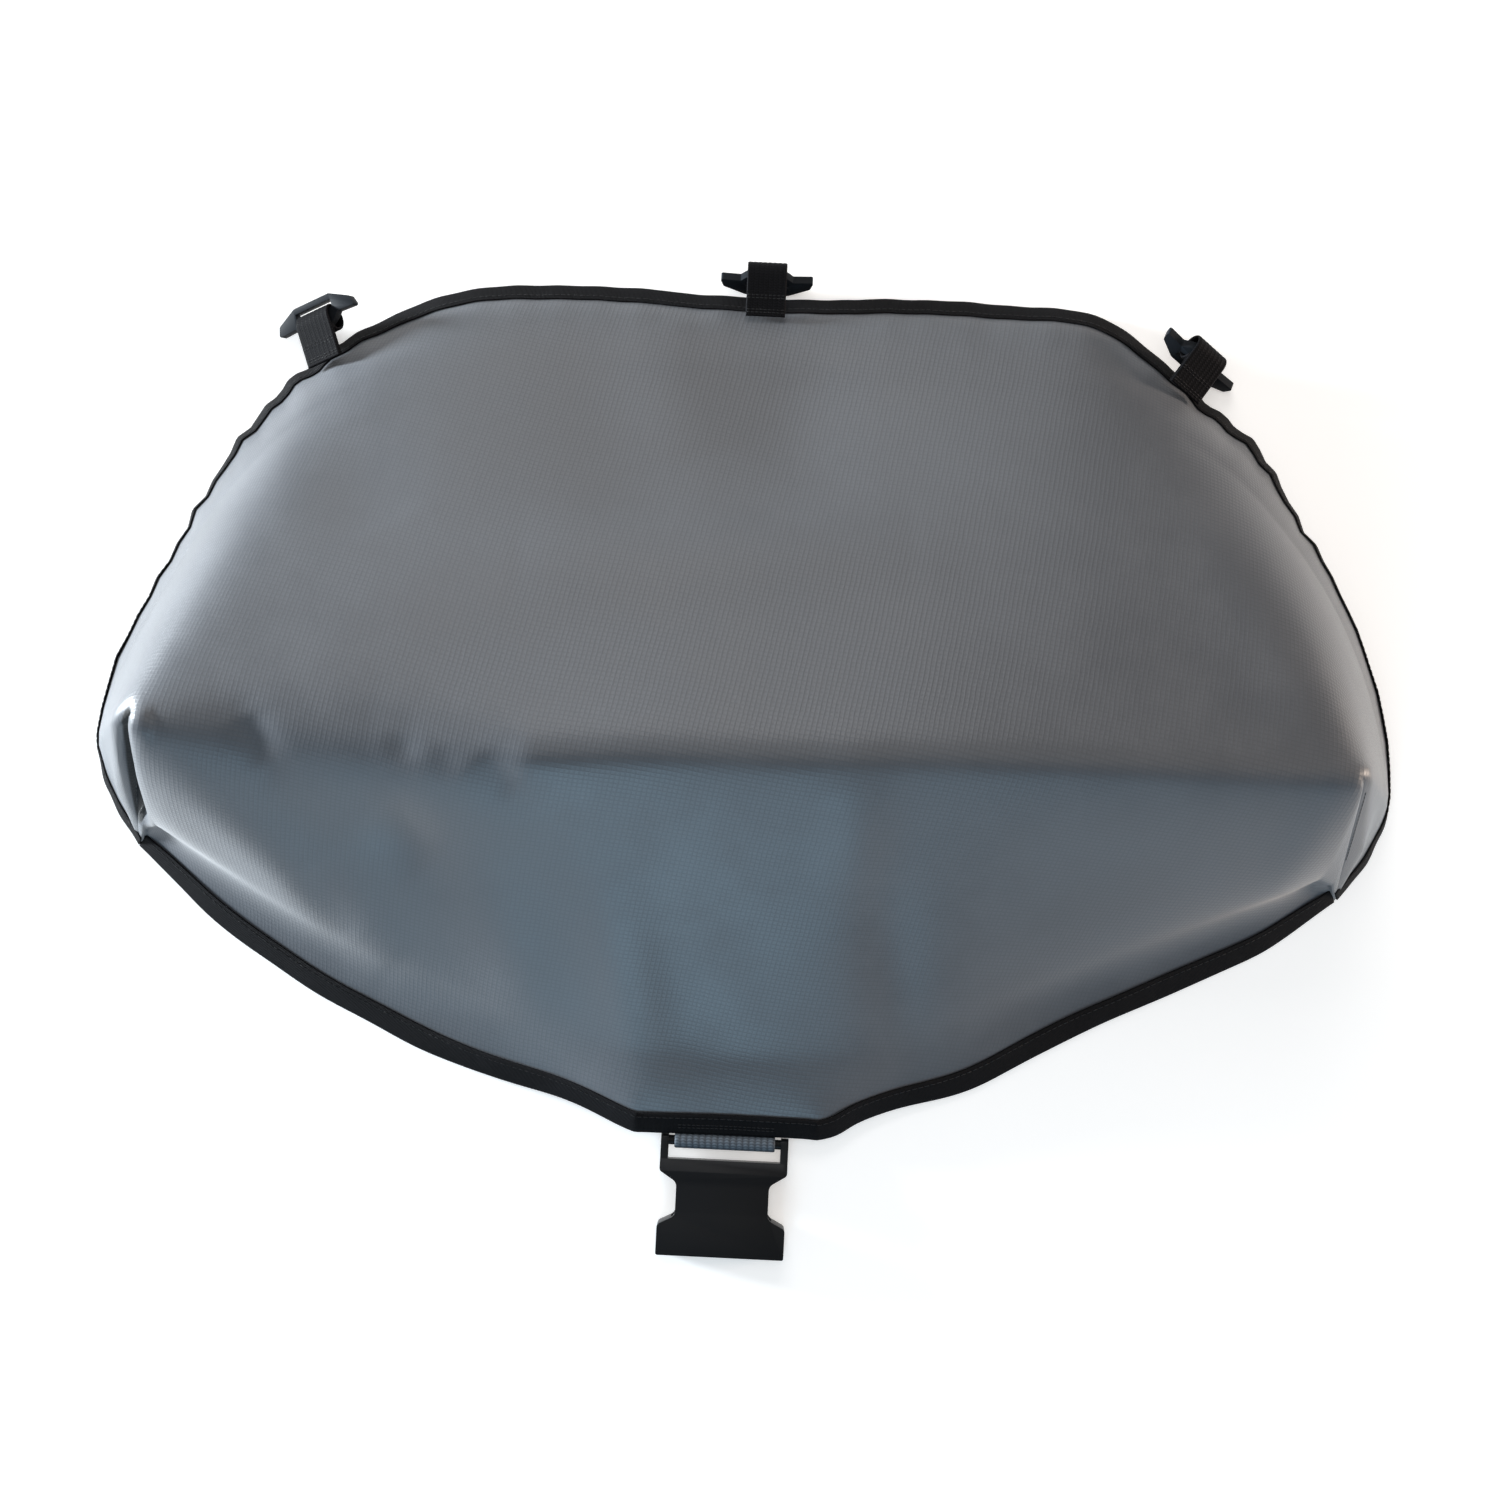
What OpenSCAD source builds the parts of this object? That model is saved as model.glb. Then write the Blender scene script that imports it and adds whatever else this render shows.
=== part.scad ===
// Kayak spray skirt: a domed cover of coated fabric with a bound hem, three toggles on webbing loops at the rear
// and one side-release buckle socket on a strap loop at the front.
// Millimetres. X runs across the cover, Y towards the rear, Z up. The origin is at the middle of the footprint, on
// the surface that the cover lies on.

/* [Cover] */
// Width over the hem
hem_w = 652; // [620:1:690]
// Depth of the hem, front edge to the middle of the rear edge
hem_d = 420; // [400:1:440]
// Height of the ridge at its middle
ridge_h = 124; // [110:1:135]
// Distance between the two dart tips, which end the ridge
ridge_w = 566; // [540:1:590]
// Height of the dart tips
tip_h = 104; // [95:1:110]
// Thickness of the coated fabric
panel_t = 1; // [0.8:0.1:1.2]

/* [Binding] */
// Width of the folded tape's face
binding_w = 12; // [10:0.5:13]
// Thickness of the tape
tape_t = 0.8; // [0.6:0.1:1]
// Play between the tape and the fabric that it holds
tape_gap = 0.25; // [0.2:0.05:0.4]

/* [Webbing loops and toggles] */
// Width of the webbing
webbing_w = 20; // [18:0.5:21]
// Thickness of one layer of webbing
webbing_t = 1.4; // [1:0.1:1.6]
// Inner radius of the loop round the toggle
loop_r = 5.6; // [5.5:0.1:6]
// Length of the doubled webbing, from the loop's centre to its sewn end
webbing_l = 21; // [19:0.5:24]
// Length of a toggle, tip to tip
toggle_l = 47.6; // [44:0.2:50]
// Thickness of a toggle
toggle_t = 4.5; // [4:0.1:4.6]
// Length of a toggle's slot
slot_l = 22; // [21.5:0.1:23]
// Width of a toggle's slot
slot_w = 4; // [3.8:0.1:4.4]

/* [Buckle] */
// Width of the buckle's mouth
buckle_w = 63.5; // [60:0.5:66]
// Length of the buckle from its bar to its mouth
buckle_l = 56; // [52:0.5:60]
// Thickness of the buckle's body
buckle_t = 13; // [12:0.5:14]
// Width of the buckle's waist
waist_w = 46; // [44:0.5:48]
// Width of the buckle's strap
strap_w = 50; // [48:0.5:51]
// Thickness of one layer of strap
strap_t = 1.2; // [1:0.1:1.4]

/* [Hidden] */
$fn = 48;

// ---- driving curves of the cover, right half, front hem at y = 0 ----
// The ridge and the dart leg form one line that the front and the rear of the panel share. Each station is one
// section of the panel through that line: [place on the line, front hem, front slope, front knee, rear hem, rear
// slope, rear knee]. The place is a distance from the middle along the ridge, or, past the dart tip, the rest of
// the way down the dart leg as [0..1]. A knee is where the section bends, and slopes are in degrees at the hem.
stations = [
    [0,        [0, 0],     10, [0, 50, 20],     [0, 420],    40, [0, 350, 36]],
    [42,       [38, 0],    10, [40, 50, 21],    [42, 421],   40, [42, 350, 36]],
    [56,       [50, 2.5],  10, [54, 51, 21],    [56, 422],   40, [56, 351, 36]],
    [95,       [86, 21],   12, [90, 68, 23],    [100, 423],  40, [95, 354, 38]],
    [140,      [128, 39],  14, [133, 83, 25],   [150, 419],  42, [140, 357, 38]],
    [172,      [162, 53],  16, [167, 95, 26],   [188, 404],  46, [170, 361, 36]],
    [200,      [194, 67],  18, [198, 105, 26],  [222, 383],  52, [202, 359, 34]],
    [225,      [222, 81],  20, [225, 116, 27],  [252, 354],  60, [230, 341, 40]],
    [246,      [246, 93],  24, [248, 125, 28],  [284, 309],  68, [257, 302, 62]],
    [262,      [264, 103], 28, [264, 131, 29],  [308, 266],  71, [273, 261, 81]],
    [275,      [278, 113], 32, [277, 136, 30],  [323, 224],  72, [283, 230, 95]],
    [283,      [288, 121], 36, [286, 140, 32],  [326, 188],  73, [290, 198, 99]],
    [[0.5],    [295, 127], 40, [294, 142, 26],  [316, 156],  70, [305, 160, 38]],
    [[0],      [301, 132], 44, [301, 132, 0],   [301, 132],  66, [301, 132, 0]]
];
design_w = 652;
design_d = 420;
design_ridge = 283;
ridge_y = 198;
// How far the front edge is held up by the buckle's strap, and the width of that lift
strap_lift = 6.2;
lift_span = 80;
// Steps between two stations, and along each bend of a section
station_steps = 3;
bend_steps = 4;
// Reach of the straight stretch at the hem and of the level stretch beside the ridge
hem_reach = 28;
crest_reach = 20;

// ---- derived sizes ----
sx = hem_w / design_w;
sy = hem_d / design_d;
tape_half = panel_t / 2 + tape_gap + tape_t;
tape_edge = tape_gap + tape_t;
strap_bar_r = 2.4;
strap_loop_r = strap_bar_r + 0.3;
strap_out_r = strap_loop_r + strap_t;
loop_out_r = loop_r + webbing_t;
bar_from_hem = strap_out_r + tape_edge + 0.2;
centre_loop_reach = 11.7;
// The footprint's middle: between the buckle's mouth and the fold of the centre loop
front_end = -bar_from_hem - buckle_l;
rear_end = hem_d + centre_loop_reach + loop_out_r;
y_mid = (front_end + rear_end) / 2;

// ---- small helpers ----
function unit(v) = v / norm(v);
function flat(v) = [v[0], v[1], 0];
function mix(a, b, t) = a * (1 - t) + b * t;
function catmull(a, b, c, d, t) =
    0.5 * (2 * b + (c - a) * t + (2 * a - 5 * b + 4 * c - d) * t * t + (3 * b - a - 3 * c + d) * t * t * t);
// Corner b of a polygon rounded to radius r between its neighbours a and c
function corner(a, b, c, r, steps = 6) =
    let(u = unit(a - b), v = unit(c - b), half = acos(u * v) / 2, cut = r / tan(half), mid = b + unit(u + v) * r / sin(half),
        p = b + u * cut - mid, q = b + v * cut - mid)
    [for (k = [0:steps]) let(w = mix(p, q, k / steps)) mid + unit(w) * r];
function rounded(points, radii) =
    let(n = len(points))
    [for (i = [0:n - 1]) each corner(points[(i + n - 1) % n], points[i], points[(i + 1) % n], radii[i])];
function mirrored(half) = concat(half, [for (i = [len(half) - 1:-1:0]) [-half[i][0], half[i][1]]]);

// ---- the panel's middle surface ----
// Height of the hem's own middle surface, so that the tape's lowest edge lies on the ground
function hem_z(slope) = tape_edge * sin(slope) + tape_half * cos(slope);
// The strap holds the middle of the front edge up
function lift(p) = p[1] < ridge_y ? strap_lift * exp(-pow(p[0] / lift_span, 4)) : 0;
function hem_point(p, slope) = [p[0] * sx, p[1] * sy - y_mid, hem_z(slope) + lift(p)];
foot_slope = 60;
function dart_foot() = let(s = stations[len(stations) - 1]) hem_point(s[1], foot_slope);
function dart_tip() = [ridge_w / 2, ridge_y * sy - y_mid, tip_h];
function line_point(place) =
    is_list(place) ? mix(dart_foot(), dart_tip(), place[0])
    : let(x = place / design_ridge)
      [x * ridge_w / 2, ridge_y * sy - y_mid, ridge_h - (ridge_h - tip_h) * x * x];
function knee_point(q) = [q[0] * sx, q[1] * sy - y_mid, q[2]];
// Each station as a list of control points for its front and its rear section: hem, hem reach, knee, crest, line
// The reaches take at most these shares of their spans, and the crest lies this far under the line
reach_share = 0.7;
crest_share = 0.3;
crest_drop = 0.3;
function section_controls(hem, slope, knee, line) =
    norm(line - dart_foot()) < 0.01 ? [line, line, line, line, line]
    : let(h = hem_point(hem, slope), q = knee_point(knee), inward = unit(flat(q - h)),
          reach = min(hem_reach, reach_share * norm(q - h)), away = flat(q - line), crest = min(crest_reach, crest_share * norm(away)))
      [h, h + reach * (cos(slope) * inward + [0, 0, sin(slope)]), q, line + crest * unit(away) - [0, 0, crest_drop], line];
function front_controls(s) = section_controls(s[1], s[2], s[3], line_point(s[0]));
function rear_controls(s) = section_controls(s[4], s[5], s[6], line_point(s[0]));
function mirror_x(list) = [for (p = list) [-p[0], p[1], p[2]]];
// All stations from the left dart's foot to the right dart's foot
function both_halves(half) = concat([for (i = [len(half) - 1:-1:1]) mirror_x(half[i])], half);
// Extra sections between the stations, on smooth curves through them
function fine_sections(list) =
    let(n = len(list))
    [for (i = [0:n - 2]) for (k = [0:station_steps - 1])
        let(t = k / station_steps, a = list[max(i - 1, 0)], b = list[i], c = list[i + 1], d = list[min(i + 2, n - 1)])
        [for (j = [0:4]) catmull(a[j], b[j], c[j], d[j], t)],
     list[n - 1]];
// A section's points from its controls: straight at the hem, then one round bend per inner control point
function bend(a, b, c, first) =
    [for (k = [first:bend_steps]) let(t = k / bend_steps) mix(mix(a, b, t), mix(b, c, t), t)];
function section_points(p) =
    let(m01 = mix(p[0], p[1], 0.5), m12 = mix(p[1], p[2], 0.5), m23 = mix(p[2], p[3], 0.5), m34 = mix(p[3], p[4], 0.5))
    concat([p[0]], bend(m01, p[1], m12, 0), bend(m12, p[2], m23, 1), bend(m23, p[3], m34, 1), [p[4]]);

front_fine = fine_sections(both_halves([for (s = stations) front_controls(s)]));
rear_fine = fine_sections(both_halves([for (s = stations) rear_controls(s)]));
front_grid = [for (c = front_fine) section_points(c)];
rear_grid = [for (c = rear_fine) section_points(c)];
columns = len(front_grid) - 1;
rows = len(front_grid[0]) - 1;

// Unit normals of a grid, pointing out of the cover; flip is -1 where the columns run the other way round
function grid_normal(grid, i, j, flip) =
    let(a = grid[min(i + 1, columns)][j] - grid[max(i - 1, 0)][j], b = grid[i][min(j + 1, rows)] - grid[i][max(j - 1, 0)])
    flip * unit(cross(a, b));
function front_normal(i, j) = grid_normal(front_grid, i, j, 1);
function rear_normal(i, j) = grid_normal(rear_grid, i, j, -1);
function line_normal(i) = unit(front_normal(i, rows) + rear_normal(i, rows));
function foot_normal(side) = unit([side, -0.5, 0.4]);

// Every point of the middle surface once, moved along its normal by lift: the two dart feet, then the front
// sections with the shared line, then the rear sections without it
function skin(lift) = concat(
    [front_grid[0][0] + lift * foot_normal(-1), front_grid[columns][0] + lift * foot_normal(1)],
    [for (i = [1:columns - 1]) for (j = [0:rows])
        front_grid[i][j] + lift * (j == rows ? line_normal(i) : front_normal(i, j))],
    [for (i = [1:columns - 1]) for (j = [0:rows - 1]) rear_grid[i][j] + lift * rear_normal(i, j)]);
front_count = (columns - 1) * (rows + 1);
skin_count = 2 + front_count + (columns - 1) * rows;
function front_id(i, j) = i == 0 ? 0 : i == columns ? 1 : 2 + (i - 1) * (rows + 1) + j;
function rear_id(i, j) = i == 0 || i == columns || j == rows ? front_id(i, j) : 2 + front_count + (i - 1) * rows + j;
// Two triangles for a cell, less those that have shrunk to a line
function cell(a, b, c, d) = [for (t = [[a, b, c], [a, c, d]]) if (t[0] != t[1] && t[1] != t[2] && t[2] != t[0]) t];
function reversed(face) = [face[2], face[1], face[0]];
skin_faces = [
    for (i = [0:columns - 1]) for (j = [0:rows - 1]) each concat(
        cell(front_id(i, j), front_id(i, j + 1), front_id(i + 1, j + 1), front_id(i + 1, j)),
        cell(rear_id(i, j), rear_id(i + 1, j), rear_id(i + 1, j + 1), rear_id(i, j + 1)))];
hem_ring = concat([for (i = [0:columns]) front_id(i, 0)], [for (i = [columns - 1:-1:1]) rear_id(i, 0)]);
rim_faces = [
    for (k = [0:len(hem_ring) - 1])
        let(a = hem_ring[k], b = hem_ring[(k + 1) % len(hem_ring)])
        each [[a, b, b + skin_count], [a, b + skin_count, a + skin_count]]];

module skirt_panel() {
    color([0.40, 0.42, 0.45])
        polyhedron(
            points = concat(skin(panel_t / 2), skin(-panel_t / 2)),
            faces = concat(skin_faces, rim_faces,
                           [for (f = skin_faces) reversed(f) + [skin_count, skin_count, skin_count]]),
            convexity = 6);
}

// ---- strips that follow the hem ----
// One ring of a strip: its profile lies in the plane of the panel's inward direction and its outward normal
function hem_ring_points(controls, profile, flip, along) =
    let(inward = unit(controls[1] - controls[0]), normal = unit(cross(unit(along), inward)) * flip)
    [for (q = profile) controls[0] + q[0] * inward + q[1] * normal];
module hem_strip(fine, profile, flip, from, to) {
    n = len(profile);
    rings = to - from;
    points = [for (i = [from:to]) each
        hem_ring_points(fine[i], profile, flip, fine[min(i + 1, to)][0] - fine[max(i - 1, from)][0])];
    sides = [for (r = [0:rings - 1]) for (k = [0:n - 1])
        let(a = r * n + k, b = r * n + (k + 1) % n) each [[a, a + n, b + n], [a, b + n, b]]];
    caps = [[for (k = [0:n - 1]) k], [for (k = [n - 1:-1:0]) rings * n + k]];
    all = concat(sides, caps);
    polyhedron(points = points, faces = flip > 0 ? all : [for (f = all) [for (k = [len(f) - 1:-1:0]) f[k]]],
               convexity = 6);
}
// The tape's folded section, open towards the panel
tape_profile = [
    [-tape_edge, -tape_half], [binding_w - tape_edge, -tape_half], [binding_w - tape_edge, tape_t - tape_half],
    [-tape_gap, tape_t - tape_half], [-tape_gap, tape_half - tape_t], [binding_w - tape_edge, tape_half - tape_t],
    [binding_w - tape_edge, tape_half], [-tape_edge, tape_half]
];
thread_w = 0.8;
thread_t = 0.4;
seam_inset = 2.5;
thread_gap = 0.08;
function thread_profile() =
    let(x = binding_w - tape_edge - seam_inset, z = tape_half + thread_gap)
    [[x, z], [x + thread_w, z], [x + thread_w, z + thread_t], [x, z + thread_t]];
// Sections left free at each dart's foot, where the two bindings meet
front_free = 2;
rear_free = 2;

module binding_front() {
    color([0.08, 0.08, 0.09]) hem_strip(front_fine, tape_profile, 1, front_free, columns - front_free);
}
module binding_rear() {
    color([0.08, 0.08, 0.09]) hem_strip(rear_fine, tape_profile, -1, rear_free, columns - rear_free);
}
module binding_stitch_front() {
    color([0.02, 0.02, 0.02]) hem_strip(front_fine, thread_profile(), 1, front_free, columns - front_free);
}
module binding_stitch_rear() {
    color([0.02, 0.02, 0.02]) hem_strip(rear_fine, thread_profile(), -1, rear_free, columns - rear_free);
}

// ---- darts ----
// A row of thread inside the cover, along the leg of the dart
dart_thread_inset = 2.2;
// Where the thread starts and ends, as shares of the leg from its foot
dart_thread_from = 0.2;
dart_thread_to = 0.92;
module rod(a, b, r) {
    v = b - a;
    translate(a) rotate([0, acos(v[2] / norm(v)), atan2(v[1], v[0])]) cylinder(h = norm(v), r = r);
}
module dart_stitch() {
    foot = mix(dart_foot(), dart_tip(), dart_thread_from);
    tip = mix(dart_foot(), dart_tip(), dart_thread_to);
    inward = [-dart_thread_inset, 0, -dart_thread_inset];
    color([0.02, 0.02, 0.02]) rod(foot + inward, tip + inward, thread_t);
}
module dart_stitch_left() { mirror([1, 0, 0]) dart_stitch(); }
module dart_stitch_right() { dart_stitch(); }

// ---- webbing loops and toggles ----
// Each tab: [centre of its loop, yaw, roll, rise away from the cover, turn of its toggle]. The webbing runs from
// the loop towards the cover. At a turn of 0 the toggle's rail points away from the cover.
tab_left = [[-225, hem_d - 24, 12.8], 20, -24, 0, 0];
tab_centre = [[0, hem_d + centre_loop_reach, 11.8], 0, 0, 7, -122];
tab_right = [[222, hem_d - 20, 15.2], -32, 22, 4, -120];
module at_tab(tab) {
    translate([tab[0][0] * sx, tab[0][1] - y_mid, tab[0][2]])
        rotate([0, 0, tab[1]]) rotate([0, tab[2], 0]) rotate([tab[3], 0, 0]) children();
}
// The webbing: a round loop with a doubled tail that leaves the loop's top
module webbing() {
    color([0.05, 0.05, 0.06])
        rotate([90, 0, 90]) linear_extrude(height = webbing_w, center = true)
            difference() {
                union() {
                    circle(r = loop_out_r);
                    translate([-webbing_l, loop_out_r - 2 * webbing_t]) square([webbing_l, 2 * webbing_t]);
                }
                circle(r = loop_r);
            }
}
// Two rows of thread across the webbing's sewn end
tack_rows = [2, 8];
tack_margin = 1.5;
module webbing_stitch() {
    color([0.02, 0.02, 0.02])
        for (y = tack_rows)
            translate([-webbing_w / 2 + tack_margin, y - webbing_l, loop_out_r + thread_gap])
                cube([webbing_w - 2 * tack_margin, thread_w, thread_t]);
}
module webbing_left() { at_tab(tab_left) webbing(); }
module webbing_centre() { at_tab(tab_centre) webbing(); }
module webbing_right() { at_tab(tab_right) webbing(); }
module webbing_stitch_left() { at_tab(tab_left) webbing_stitch(); }
module webbing_stitch_centre() { at_tab(tab_centre) webbing_stitch(); }
module webbing_stitch_right() { at_tab(tab_right) webbing_stitch(); }

// The toggle, flat, with the middle of its keel at the origin and its rail towards +Y
keel_half = 4.7;
rail_w = 3;
hump_r = 17;
hump_half = 12.6;
rail_half = 11;
arm_knee = [22, 6.2];
arm_tip_y = 1;
// Half the angle that the keel's round bottom spans
keel_turn = asin(hump_half / hump_r);
keel_steps = 16;
wing_inner = [rail_half + 2.4, arm_tip_y + 0.6];
module toggle_plan() {
    rail_y = keel_half + slot_w + rail_w;
    wing = [[rail_half, rail_y], arm_knee, [toggle_l / 2, arm_tip_y], wing_inner];
    outline = rounded(mirrored(wing), [3, 1.5, 1, 1, 1, 1, 1.5, 3]);
    side = len(outline) / 2;
    keel = [for (k = [0:keel_steps]) let(a = keel_turn * (1 - 2 * k / keel_steps))
        [hump_r * sin(a), hump_r * (1 - cos(a)) - keel_half]];
    difference() {
        polygon(concat([for (i = [0:side - 1]) outline[i]], keel, [for (i = [side:2 * side - 1]) outline[i]]));
        translate([-slot_l / 2, keel_half]) square([slot_l, slot_w]);
    }
}
module toggle() {
    color([0.04, 0.04, 0.05]) linear_extrude(height = toggle_t, center = true) toggle_plan();
}
module toggle_left() { at_tab(tab_left) rotate([tab_left[4], 0, 0]) toggle(); }
module toggle_centre() { at_tab(tab_centre) rotate([tab_centre[4], 0, 0]) toggle(); }
module toggle_right() { at_tab(tab_right) rotate([tab_right[4], 0, 0]) toggle(); }

// ---- buckle strap ----
front_slope = stations[0][2];
front_edge_z = hem_z(front_slope) + strap_lift;
bar_z = buckle_t / 2;
strap_tail_l = 26;
module at_bar() { translate([0, -y_mid - bar_from_hem, bar_z]) children(); }
// A loop round the bar, with a doubled tail that leaves the loop's bottom and runs up under the hem
module buckle_strap() {
    color([0.36, 0.40, 0.45])
        at_bar() rotate([front_slope, 0, 0]) rotate([90, 0, 90]) linear_extrude(height = strap_w, center = true)
            difference() {
                union() {
                    circle(r = strap_out_r);
                    translate([0, -strap_out_r]) square([strap_tail_l, 2 * strap_t]);
                }
                circle(r = strap_loop_r);
            }
}
// A row of thread through the hem above the strap's tail
strap_row = 3.2;
strap_margin = 2;
module strap_stitch() {
    color([0.02, 0.02, 0.02])
        translate([0, -y_mid, front_edge_z]) rotate([front_slope, 0, 0])
            translate([-strap_w / 2 + strap_margin, strap_row, tape_half + thread_gap])
                cube([strap_w - 2 * strap_margin, thread_w, thread_t]);
}

// ---- buckle socket ----
// Plan of the socket, bar at the origin and mouth towards -Y
arm_w = 3.8;
frame_r = 3.25;
slot_end = -9;
flange_end = -14.5;
waist_start = -20;
waist_end = -36.5;
mouth_start = -41;
cavity_w = 50;
cavity_end = -19;
wall_t = 2.2;
slot_half = buckle_w / 2 - arm_w;
module socket_plan() {
    half = [
        [buckle_w / 2, slot_end + 1], [buckle_w / 2, flange_end], [waist_w / 2, waist_start],
        [waist_w / 2, waist_end], [buckle_w / 2, mouth_start], [buckle_w / 2, -buckle_l]
    ];
    polygon(rounded(mirrored(half), [1, 2.5, 4, 4, 2.5, 1, 1, 2.5, 4, 4, 2.5, 1]));
}
module buckle_body() {
    // The frame that holds the strap: two arms and a round bar
    for (side = [-1, 1])
        translate([side * (buckle_w - arm_w) / 2, 0, 0]) rotate([90, 0, 90])
            linear_extrude(height = arm_w, center = true)
                union() {
                    circle(r = frame_r);
                    translate([slot_end - 2, -frame_r]) square([-slot_end + 2, 2 * frame_r]);
                }
    rotate([0, 90, 0]) cylinder(h = buckle_w - 2 * arm_w + 1, r = strap_bar_r, center = true);
    // The socket's body, thinner towards the frame
    intersection() {
        linear_extrude(height = buckle_t, center = true) socket_plan();
        rotate([90, 0, 90]) linear_extrude(height = buckle_w + 2, center = true)
            polygon([[slot_end, -frame_r], [slot_end, frame_r], [flange_end, buckle_t / 2], [-buckle_l - 1, buckle_t / 2],
                     [-buckle_l - 1, -buckle_t / 2], [flange_end, -buckle_t / 2]]);
    }
}
module buckle_socket() {
    color([0.03, 0.03, 0.03])
        at_bar() difference() {
            buckle_body();
            translate([-cavity_w / 2, -buckle_l - 1, -buckle_t / 2 + wall_t])
                cube([cavity_w, buckle_l + 1 + cavity_end, buckle_t - 2 * wall_t]);
        }
}

skirt_panel();
binding_front();
binding_rear();
binding_stitch_front();
binding_stitch_rear();
dart_stitch_left();
dart_stitch_right();
webbing_left();
webbing_centre();
webbing_right();
webbing_stitch_left();
webbing_stitch_centre();
webbing_stitch_right();
toggle_left();
toggle_centre();
toggle_right();
buckle_strap();
strap_stitch();
buckle_socket();
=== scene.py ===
"""Kayak spray skirt: a domed cover of coated fabric, with three rear toggles and a front buckle."""

import logging
import math
from collections.abc import Iterable, Iterator, Sequence
from contextlib import contextmanager
from dataclasses import dataclass, field
from enum import Enum
from typing import Any

import bmesh
import bpy
import numpy as np
from mathutils import Matrix, Vector


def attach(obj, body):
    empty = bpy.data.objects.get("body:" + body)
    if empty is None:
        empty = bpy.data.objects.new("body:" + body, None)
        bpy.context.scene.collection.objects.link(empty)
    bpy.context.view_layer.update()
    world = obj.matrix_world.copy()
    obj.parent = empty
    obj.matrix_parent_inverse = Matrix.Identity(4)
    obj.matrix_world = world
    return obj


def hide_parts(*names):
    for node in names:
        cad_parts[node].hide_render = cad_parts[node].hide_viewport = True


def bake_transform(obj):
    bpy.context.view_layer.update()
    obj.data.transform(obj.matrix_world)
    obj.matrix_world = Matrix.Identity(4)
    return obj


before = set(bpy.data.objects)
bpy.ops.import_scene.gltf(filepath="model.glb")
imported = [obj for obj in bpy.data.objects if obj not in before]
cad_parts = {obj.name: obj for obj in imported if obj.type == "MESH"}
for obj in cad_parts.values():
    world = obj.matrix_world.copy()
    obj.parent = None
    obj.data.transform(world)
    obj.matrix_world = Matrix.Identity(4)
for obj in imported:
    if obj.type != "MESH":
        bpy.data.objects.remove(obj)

log = logging.getLogger("spray_skirt")
MM = 0.001
PER_METRE = 1000.0
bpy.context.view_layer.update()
Colour = tuple[float, float, float]
Spot = tuple[float, float]
Socket = bpy.types.NodeSocket
Thing = bpy.types.Object
Material = bpy.types.Material
Array = np.ndarray


# ---------------------------------------------------------------- names


class Edge(Enum):
    """The two stretches of the hem, which meet at the darts."""

    FRONT = "front"
    REAR = "rear"


class Place(Enum):
    """The three places that carry a webbing loop and a toggle."""

    LEFT = "left"
    CENTRE = "centre"
    RIGHT = "right"


class Slot(Enum):
    """The record's material slots."""

    FABRIC = "coated_fabric"
    TAPE = "binding_tape"
    WEBBING = "black_webbing"
    STRAP = "grey_webbing"
    THREAD = "thread"
    TOGGLE = "toggle_plastic"
    BUCKLE = "buckle_plastic"


# ---------------------------------------------------------------- node trees


class Nodes:
    """A node tree that is filled from the kinds, settings and inputs of its nodes."""

    def __init__(self, tree: bpy.types.NodeTree) -> None:
        """Takes up an empty tree."""
        self.tree = tree

    def add(self, kind: str, settings: dict[str, Any], inputs: dict[Any, Any]) -> bpy.types.Node:
        """Adds a node.

        Args:
            kind: the node's type.
            settings: its settings, set first.
            inputs: values or links by socket name or number.

        Returns:
            The new node.
        """
        node = self.tree.nodes.new(kind)
        for key, value in settings.items():
            setattr(node, key, value)
        for key, value in inputs.items():
            if isinstance(key, str):
                socket = next(s for s in node.inputs if s.name == key and s.enabled)
            else:
                socket = node.inputs[key]
            self.feed(socket, value)
        return node

    def feed(self, socket: Socket, value: Any) -> None:
        """Links or sets one socket."""
        if isinstance(value, Value):
            value = value.socket
        if isinstance(value, Socket):
            self.tree.links.new(value, socket)
        else:
            socket.default_value = value


class Value:
    """A number socket that adds Math nodes as Python expressions are worked out on it."""

    def __init__(self, recipe: "Recipe", socket: Socket) -> None:
        """Wraps a socket of a recipe's tree."""
        self.recipe = recipe
        self.socket = socket

    def _math(self, operation: str, *terms: Any) -> "Value":
        """Adds one Math node for an operation on its terms."""
        return self.recipe.value("ShaderNodeMath", {"operation": operation}, dict(enumerate(terms)))

    def __add__(self, other: Any) -> "Value":
        """Adds a value."""
        return self._math("ADD", self, other)

    def __sub__(self, other: Any) -> "Value":
        """Takes a value away."""
        return self._math("SUBTRACT", self, other)

    def __rsub__(self, other: Any) -> "Value":
        """Takes this value away from a number."""
        return self._math("SUBTRACT", other, self)

    def __mul__(self, other: Any) -> "Value":
        """Multiplies by a value."""
        return self._math("MULTIPLY", self, other)

    def __pow__(self, power: float) -> "Value":
        """Raises to a power."""
        return self._math("POWER", self, power)

    def most(self, other: Any) -> "Value":
        """The larger of two values."""
        return self._math("MAXIMUM", self, other)

    def ribs(self, pitch: float) -> "Value":
        """Round ribs of 0 to 1 along a place in millimetres, one to each pitch."""
        return self._math("ABSOLUTE", self._math("COSINE", self * (math.pi / pitch)))


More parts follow.
